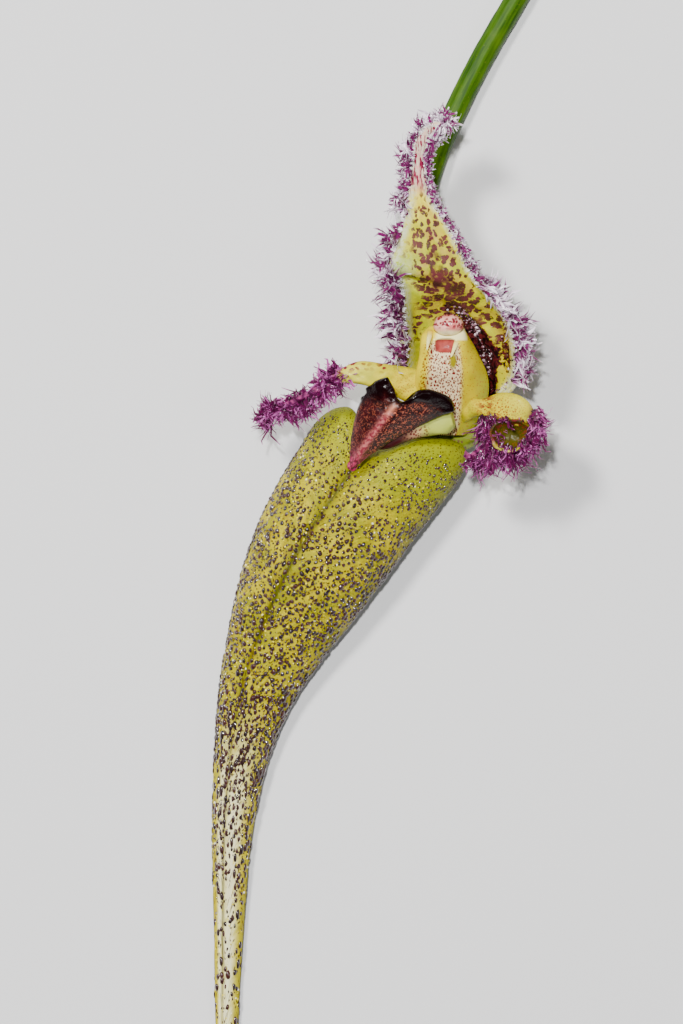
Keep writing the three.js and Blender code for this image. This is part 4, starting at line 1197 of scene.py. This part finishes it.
def build_petal_right():
    strap = np.array(PETAL_RIGHT)
    strap[2:4, 3] += CUSHION_FULLER
    strap[4:7, 2] -= LIMB_LOWER
    grid, r, s = petal_grid(strap, turned=True)
    x, y = grid[..., 0], grid[..., 1]
    relief = 0.3 * (1 - s**2) * fall(r, 3.2, 1) + 0.05 * ripple(x, y, 33, 7, 3, 0.9)
    marks = {
        "pale": 0.3 * rise(r, 1.8, 1) * fall(r, 3, 1),
        "golden": spot(x, y, 0.4, 14.8, 9.3, 2.2, 1.6),
        "spine": rise(r, 3.1, 0.5),
        "olive": 0.0,
        "speck": np.clip(spots(x, y, (1, 14.2, 9.6, 0.8, 1.2), (0.9, 16.0, 8.0, 2.6, 0.5)), 0, 1),
        "fine": np.clip(spots(x, y, (1, 14.6, 9.0, 1.8, 1.6), (0.7, 16.6, 8.9, 1.4, 1.0)), 0, 1),
    }
    piece = blade("right_petal", grid, BLADE, relief, petal_paint(), marks)
    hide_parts("petal_right")
    build_cup()
    petal_hairs("right_petal_fringe", PETAL_RIGHT[1:], RIGHT_HAIRS, purple_paint("right_fringe_hairs"), 51)
    build_cup_hairs()


def cup_face(u, turn):
    """The hollow under the right petal's cushion: u is 0 in its middle and 1 at its rim."""
    cx, cy, cz = CUP_CENTRE
    rx, ry, deep = CUP_RADII
    c, n = math.cos(CUP_TURN), math.sin(CUP_TURN)
    uneven = 1 + u**3 * (0.07 * np.sin(3 * turn + 1) + 0.04 * np.sin(7 * turn))
    a, b = rx * u * np.cos(turn) * uneven, ry * u * np.sin(turn) * uneven
    z = cz - deep * (1 - u**2.4) + 0.1 * b + u**4 * (0.16 * np.sin(2 * turn) + 0.1 * np.sin(5 * turn + 2))
    return np.stack([cx + c * a - n * b, cy + n * a + c * b, z], axis=-1)


def build_cup():
    u, turn = np.meshgrid(spread(0.02, 1, 40, 0.08), np.linspace(0, FULL_TURN, 73), indexing="ij")
    grid = cup_face(u, turn)
    relief = 0.05 * ripple(grid[..., 0], grid[..., 1], 35, 7, 2.0, 0.7) * np.sin(turn / 2) ** 0.5
    low_rim = bump(turn - 1.36 * math.pi, 0.7)
    marks = {
        "pale": 0.4 * rise(u, 0.86, 0.1) * low_rim,
        "golden": 0.0,
        "spine": rise(u, 0.9, 0.06) * (1 - low_rim) * (np.cos(turn + 0.3) < 0.4),
        # olive: dark inside the hollow, partly its own colour and partly painted shade.
        "olive": fall(u + 0.2 * low_rim, 0.98, 0.12),
        "speck": 0.6 * rise(u, 0.5, 0.3) * (np.sin(turn) > -0.3),
        "fine": 0.4 * rise(u, 0.3, 0.3),
    }
    blade("right_petal_cup", grid, 0.3, relief, petal_paint(), marks, sides=("last",))


def build_cup_hairs():
    """Purple hairs that hang around the hollow: from the cushion's left end, its lower edge and the rim."""
    random = np.random.default_rng(57)
    groups = []
    for low, high, count, lean, lengths, dark in CUP_HAIRS:
        centre = random.uniform(low, high, (count, 3))
        out = unit(np.array(lean) + random.normal(0, 0.28, (count, 3)))
        length = random.uniform(*lengths, count)
        groups.append((centre, out, length, np.where(random.random(count) < dark, PETAL_DARK, LIGHT)))
    paint = purple_paint("cup_fringe_hairs")
    tufts("right_cup_fringe", groups, random, 0.14, (0.16, 0.32), paint, 58)


# ---------------------------------------------------------------- the column, its cap and its teeth


def column_rings(rows, sides):
    y, left, ridge, right, front, depth = np.moveaxis(along(COLUMN, rows), -1, 0)
    shape = [
        (left, front - 0.5),
        (left - 0.1, front - 0.5 * depth),
        (left + 0.9, front - 0.92 * depth),
        ((left + right) / 2, front - depth),
        (right - 0.6, front - 0.9 * depth),
        (right, front - 0.55 * depth),
        (ridge + 0.25, front - 0.05),
        ((left + ridge) / 2, front),
    ]
    points = np.stack([np.stack([x, y, z], axis=-1) for x, z in shape], axis=-2)
    return closed_curve(points, sides)[:, ::-1]


def build_column():
    grid, faces = closed_loft(column_rings(np.linspace(0, len(COLUMN) - 1, 120), 110))
    # The stigma is a flat-sided hollow in the front.
    middle, radii = STIGMA
    local = (grid - middle) / radii
    flat = np.abs(local[..., 0]) ** 3.4 + np.abs(local[..., 1]) ** 3.4
    floor_z = middle[2] - radii[2] * np.sqrt(np.clip(1 - flat, 0, 1))
    hollow = (flat < 1) & (grid[..., 2] > middle[2] - 1.6) & (grid[..., 2] > floor_z)
    grid[..., 2] = np.where(hollow, floor_z, grid[..., 2])
    rows_y, rows_left, rows_ridge = np.array(COLUMN).T[:3]
    x, y, z = np.moveaxis(grid, -1, 0)
    front_z = along(COLUMN, np.interp(y, rows_y, range(len(COLUMN))))[..., 4]
    front = rise(z - front_z, -0.9, 0.7)
    grid[..., 2] += spot(x, y, 0.14, *OLIVE_MARK, 0.42, 0.8) * front
    # The cap's bed: what lies inside it moves out to its surface.
    room = CAP[1] + CAP_CLEARANCE
    local = (grid - CAP[0]) / room
    size = np.linalg.norm(local, axis=-1, keepdims=True)
    grid = np.where(size < 1, CAP[0] + local / np.maximum(size, 1e-6) * room, grid)
    left_x = np.interp(y, rows_y, rows_left)
    across = (x - left_x) / (np.interp(y, rows_y, rows_ridge) - left_x)
    panel = rise(across, 0.12, 0.2) * fall(across, 0.86, 0.14) * front
    marks = {
        "blush": 0.9 * panel * fall(y, 15.2, 1.0),
        "speck": rise(across, -0.02, 0.14) * fall(across, 0.92, 0.12) * front * fall(y, 15.4, 0.5),
        "flank": rise(across, 0.9, 0.15),
        "green": 0.8 * rise(across, 1.1, 0.4) * fall(y, 11, 3) + 0.5 * fall(y, 8, 2),
        "cream": front * rise(y, 15.75, 0.25) * fall(y, 16.9, 0.3) * rise(across, 0.25, 0.15),
        "red": np.clip(1.25 * rise(1.05 - flat, 0, 0.3) * (z > middle[2] - 1.5) * (y < 15.95), 0, 1),
        "olive": rise(2.4 * (spot(x, y, 1, *OLIVE_MARK, 0.46, 0.95) - 0.35), 0, 1) * front,
    }
    piece = make_piece("column_body", grid, faces, column_paint(), marks)
    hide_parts("column")
    for k, (root, tip) in enumerate(np.array(TEETH)):
        build_tooth(f"column_tooth_{k + 1}", root, tip)


def build_tooth(name, root, tip):
    """A slim pointed tooth that curves forwards."""
    t = np.linspace(0, 1, 22)
    line = root + (tip - root) * t[:, None] + np.array([0.0, 0.12, 0.25]) * np.sin(math.pi * t)[:, None]
    way = unit(np.gradient(line, axis=0))
    side = unit(np.cross(way, [0.0, 0.3, 1.0]))
    up = np.cross(side, way)
    turn = circle(18)[:, None]
    ring = np.cos(turn) * side[:, None] + np.sin(turn) * up[:, None] * 0.8
    radius = TOOTH_RADIUS * (1 - t) ** 0.75 + 0.04
    grid, faces = closed_loft(line[:, None] + ring * radius[:, None, None])
    make_piece(name, grid, faces, tooth_paint(), {"along": for_rings(t, 0, 1)})


def build_cap():
    d, faces = ball(60, 72)
    groove = 0.07 * bump(d[..., 0], 0.18) * rise(d[..., 2], -0.2, 0.6)
    size = 1 - groove + 0.02 * ripple(d[..., 0] * 3, d[..., 1] * 3, 61, 6, 3, 1)
    marks = {
        "cream": rise(-d[..., 1], 0.3, 0.35) * rise(d[..., 2], -0.1, 0.4),
        "speck": rise(d[..., 1], -0.45, 0.4),
    }
    points = CAP[0] + d * size[..., None] * CAP[1]
    piece = make_piece("anther_cap_shell", points, faces, cap_paint(), marks)
    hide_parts("anther_cap")


# ---------------------------------------------------------------- the lip


def lip_face(place, s):
    """Points of the lip's upper face: place runs from its tip to its back, s from left to right."""
    middle = along(LIP_MIDDLE, s * (len(LIP_MIDDLE) - 1))
    back = along(LIP_BACK, s * (len(LIP_BACK) - 1))
    p = place[..., None]
    return (1 - p) ** 2 * np.array(LIP_TIP) + 2 * p * (1 - p) * middle + p**2 * back


def build_lip():
    lines = spread(0, 1, 120, 0.05)
    u, t = np.meshgrid(lines, lines, indexing="ij")
    place, s = LIP_BLUNT + (1 - LIP_BLUNT) * u, 1 - t
    grid = lip_face(place, s)
    x, y = grid[..., 0], grid[..., 1]
    ridge_mm = np.abs(s - LIP_RIDGE) * LIP_WIDE * place
    ridge = bump(ridge_mm, 0.42) * rise(place, 0.05, 0.2) * fall(place, 0.9, 0.08)
    knobs = rise(LIP_RIDGE - s, 0, 0.12) * rise(place, 0.84, 0.12)
    relief = 0.16 * ridge + 0.10 * knobs * ripple(x, y, 71, 6, 1.6, 0.7)
    relief = relief + 0.03 * ripple(x, y, 72, 8, 2.0, 0.6)
    right = s > LIP_RIDGE
    rim = rise(place, 0.83, 0.1) * np.where(right, 1.0, 0.9)
    rim = np.maximum(rim, rise(LIP_RIDGE - s, 0.1, 0.1) * rise(place, 0.74, 0.12))
    rim = np.maximum(rim, 0.6 * rise(ridge_mm, 3.4, 1.2) * rise(place, 0.5, 0.2))
    near_ridge = 1 - 0.4 * rise(ridge_mm, 3.0, 1.4)
    marks = {
        "ridge": 0.9 * ridge,
        "high": rise(place, 0.72, 0.2),
        "tip": 0.9 * fall(place, 0.12, 0.2),
        "rim": np.clip(rim, 0, 1) * (1 - ridge),
        "flank": (1 - rim) * near_ridge * rise(place, 0.1, 0.1) * np.where(right, 1.0, 0.32),
    }
    piece = blade("lip_blade", grid, LIP_THICK, relief, lip_paint(), marks)
    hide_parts("lip")
    build_keel()


def build_keel():
    """The lip's underside: a fleshy keel with a low crest, pale green where it hinges."""
    place = np.linspace(0, len(LIP_KEEL) - 1, 70)
    rows = along(LIP_KEEL, place)
    turn = circle(60)
    crest = 1 + 0.12 * bump(turn - math.pi * 0.75, 0.35)
    wide = rows[:, 3:4] * (1 + 0.05 * ripple(place[:, None], 2 * np.cos(turn), 75, 6, 3, 1))
    grid, faces = closed_loft(tube_rings(rows[:, :3], wide * crest, rows[:, 4:5] * crest))
    share = for_rings(place, 0, place[-1])
    marks = {
        "green": rise(share, 2.1, 1.0),
        "speck": fall(share, 2.6, 0.8),
        # deep: painted shade on the keel's front part, where it lies under the lip.
        "deep": 1 - 0.95 * rise(share, 1.4, 1.2),
    }
    make_piece("lip_keel", grid, faces, keel_paint(), marks)


def build_receptacle():
    """The fleshy foot where column, petals and sepals meet, seen only through the gaps between them."""
    d, faces = ball(50, 60)
    x, y = d[..., 0], d[..., 1]
    lumps = 1 + 0.05 * ripple(x * 4, y * 4, 77, 6, 4.0, 1.5)
    marks = {"round": 4 * x, "down": 4 * y, "rib": 0.2 + 0.2 * np.cos(9 * x)}
    points = RECEPTACLE[0] + d * RECEPTACLE[1] * lumps[..., None]
    make_piece("receptacle", points, faces, ovary_paint(), marks)


# ---------------------------------------------------------------- the stalks and the bract


def build_stalk():
    line = along(STALK_ROUTE, np.linspace(0, len(STALK_ROUTE) - 1, 240))
    down = travelled(line)
    turn = circle(64)
    faint = 0.012 * np.cos(9 * turn) + 0.015 * ripple(down[:, None], 3 * turn, 81)
    ends = np.minimum(down, down[-1] - down)
    radius = STALK_RADIUS * (1 + faint) * (1 - 0.06 * bump(ends, 0.12))[:, None]
    rings = tube_rings(line, radius, radius)
    rings[..., 2] = np.maximum(rings[..., 2], REST_CUT)
    grid, faces = closed_loft(rings)
    marks = {
        "round": np.minimum(turn, FULL_TURN - turn) * STALK_RADIUS,
        "down": for_rings(down, 0, down[-1]),
        "cut": for_rings(0 * down, 1, 1),
    }
    piece = make_piece("stalk", grid, faces, stalk_paint(), marks)
    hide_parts("peduncle")


def build_ovary():
    place = np.linspace(0, len(OVARY) - 1, 150)
    rows = along(OVARY, place)
    turn = circle(72)
    ribs = rise(place, 2, 3)[:, None] * np.cos(OVARY_RIBS * turn)
    radius = rows[:, 3:4] * (1 + RIB_HEIGHT * ribs)
    line = rows[:, :3]
    grid, faces = closed_loft(tube_rings(line, radius, radius))
    down = travelled(line)
    ends = len(END_SHARES)
    marks = {
        "round": np.minimum(turn, FULL_TURN - turn),
        "down": for_rings(down, 0, down[-1]),
        "rib": np.pad(np.clip(ribs, 0, 1), ((ends, ends), (0, 0))),
    }
    piece = make_piece("ovary", grid, faces, ovary_paint(), marks)
    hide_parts("pedicel_ovary")


def build_bract():
    u, s = np.meshgrid(spread(0, 1, 50, 0.06), spread(-1, 1, 60, 0.08), indexing="ij")
    turn = s * mixed(BRACT_OPENING, BRACT_TIP, u**1.5)
    flare = BRACT_FLARE * u
    radius = BRACT_RADIUS + flare
    x, y, z = BRACT_AT
    x, z = x + flare + radius * np.sin(turn), z + flare + radius * np.cos(turn)
    grid = np.stack([x, y - BRACT_LENGTH * u, z], axis=-1)
    relief = 0.04 * np.cos(turn * 14)
    marks = {"dry": rise(u, 0.6, 0.4)}
    piece = blade("bract_scale", grid, BRACT_THICK, relief, bract_paint(), marks)
    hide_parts("bract")


# ---------------------------------------------------------------- floor, lights and camera


def build_stage():
    mesh = bpy.data.meshes.new("floor")
    reach = 3.0
    corners = [(-reach, -reach, 0), (reach, -reach, 0), (reach, reach, 0), (-reach, reach, 0)]
    mesh.from_pydata(corners, [], [(0, 1, 2, 3)])
    p = Paint("floor_paper", roughness=0.8, specular=0.2)
    p.base = p.mix(p.noise(0.02, 2.0), (232, 232, 234), (236, 236, 236))
    mesh.materials.append(p.done())
    floor = bpy.data.objects.new("floor", mesh)
    bpy.context.scene.collection.objects.link(floor)


def area_light(name, place, size, power, colour=(1, 1, 1)):
    """A round lamp that looks at the part's origin."""
    light = bpy.data.lights.new(name, "AREA")
    light.shape = "DISK"
    light.size = size
    light.energy = power
    light.color = colour
    lamp = bpy.data.objects.new(name, light)
    lamp.location = place
    lamp.rotation_euler = (-Vector(place)).to_track_quat("-Z", "Y").to_euler()
    bpy.context.scene.collection.objects.link(lamp)


def build_lights():
    area_light("key", (-0.24, 0.26, 0.57), 0.11, 4.6, (1.0, 0.98, 0.95))
    area_light("fill", (0.5, -0.1, 0.6), 0.3, 0.7, (0.95, 0.97, 1.0))
    area_light("spark", (-0.05, 0.1, 0.7), 0.03, 5.0)
    world = bpy.data.worlds.new("studio")
    world.use_nodes = True
    world.node_tree.nodes["Background"].inputs["Color"].default_value = (1, 1, 1, 1)
    world.node_tree.nodes["Background"].inputs["Strength"].default_value = 0.1
    bpy.context.scene.world = world


def build_camera():
    """Looks straight down, so that the plan falls on the photo's frame."""
    wide, high = PHOTO
    middle = np.array([(wide / 2 - PLAN_ORIGIN[0]), (PLAN_ORIGIN[1] - high / 2), 0.0]) * MM_PER_PIXEL
    target = (middle - REST) * MM
    distance = 0.8
    level = 0.008  # the height at which the scale is the photo's
    data = bpy.data.cameras.new("camera")
    data.sensor_fit = "VERTICAL"
    data.sensor_height = 24
    data.lens = 24 * distance / (high * MM_PER_PIXEL * MM)
    data.clip_start = 0.01
    data.clip_end = 10
    camera = bpy.data.objects.new("camera", data)
    camera.location = (target[0], target[1], level + distance)
    bpy.context.scene.collection.objects.link(camera)
    bpy.context.scene.camera = camera


# ---------------------------------------------------------------- the flower

build_stage()
build_lights()
build_camera()
build_tongue()
build_warts()
build_grains()
build_hood()
build_hood_beads()
build_hood_fringe()
build_hood_down()
build_petal_left()
build_petal_right()
build_column()
build_cap()
build_lip()
build_receptacle()
build_stalk()
build_ovary()
build_bract()

bpy.context.view_layer.update()
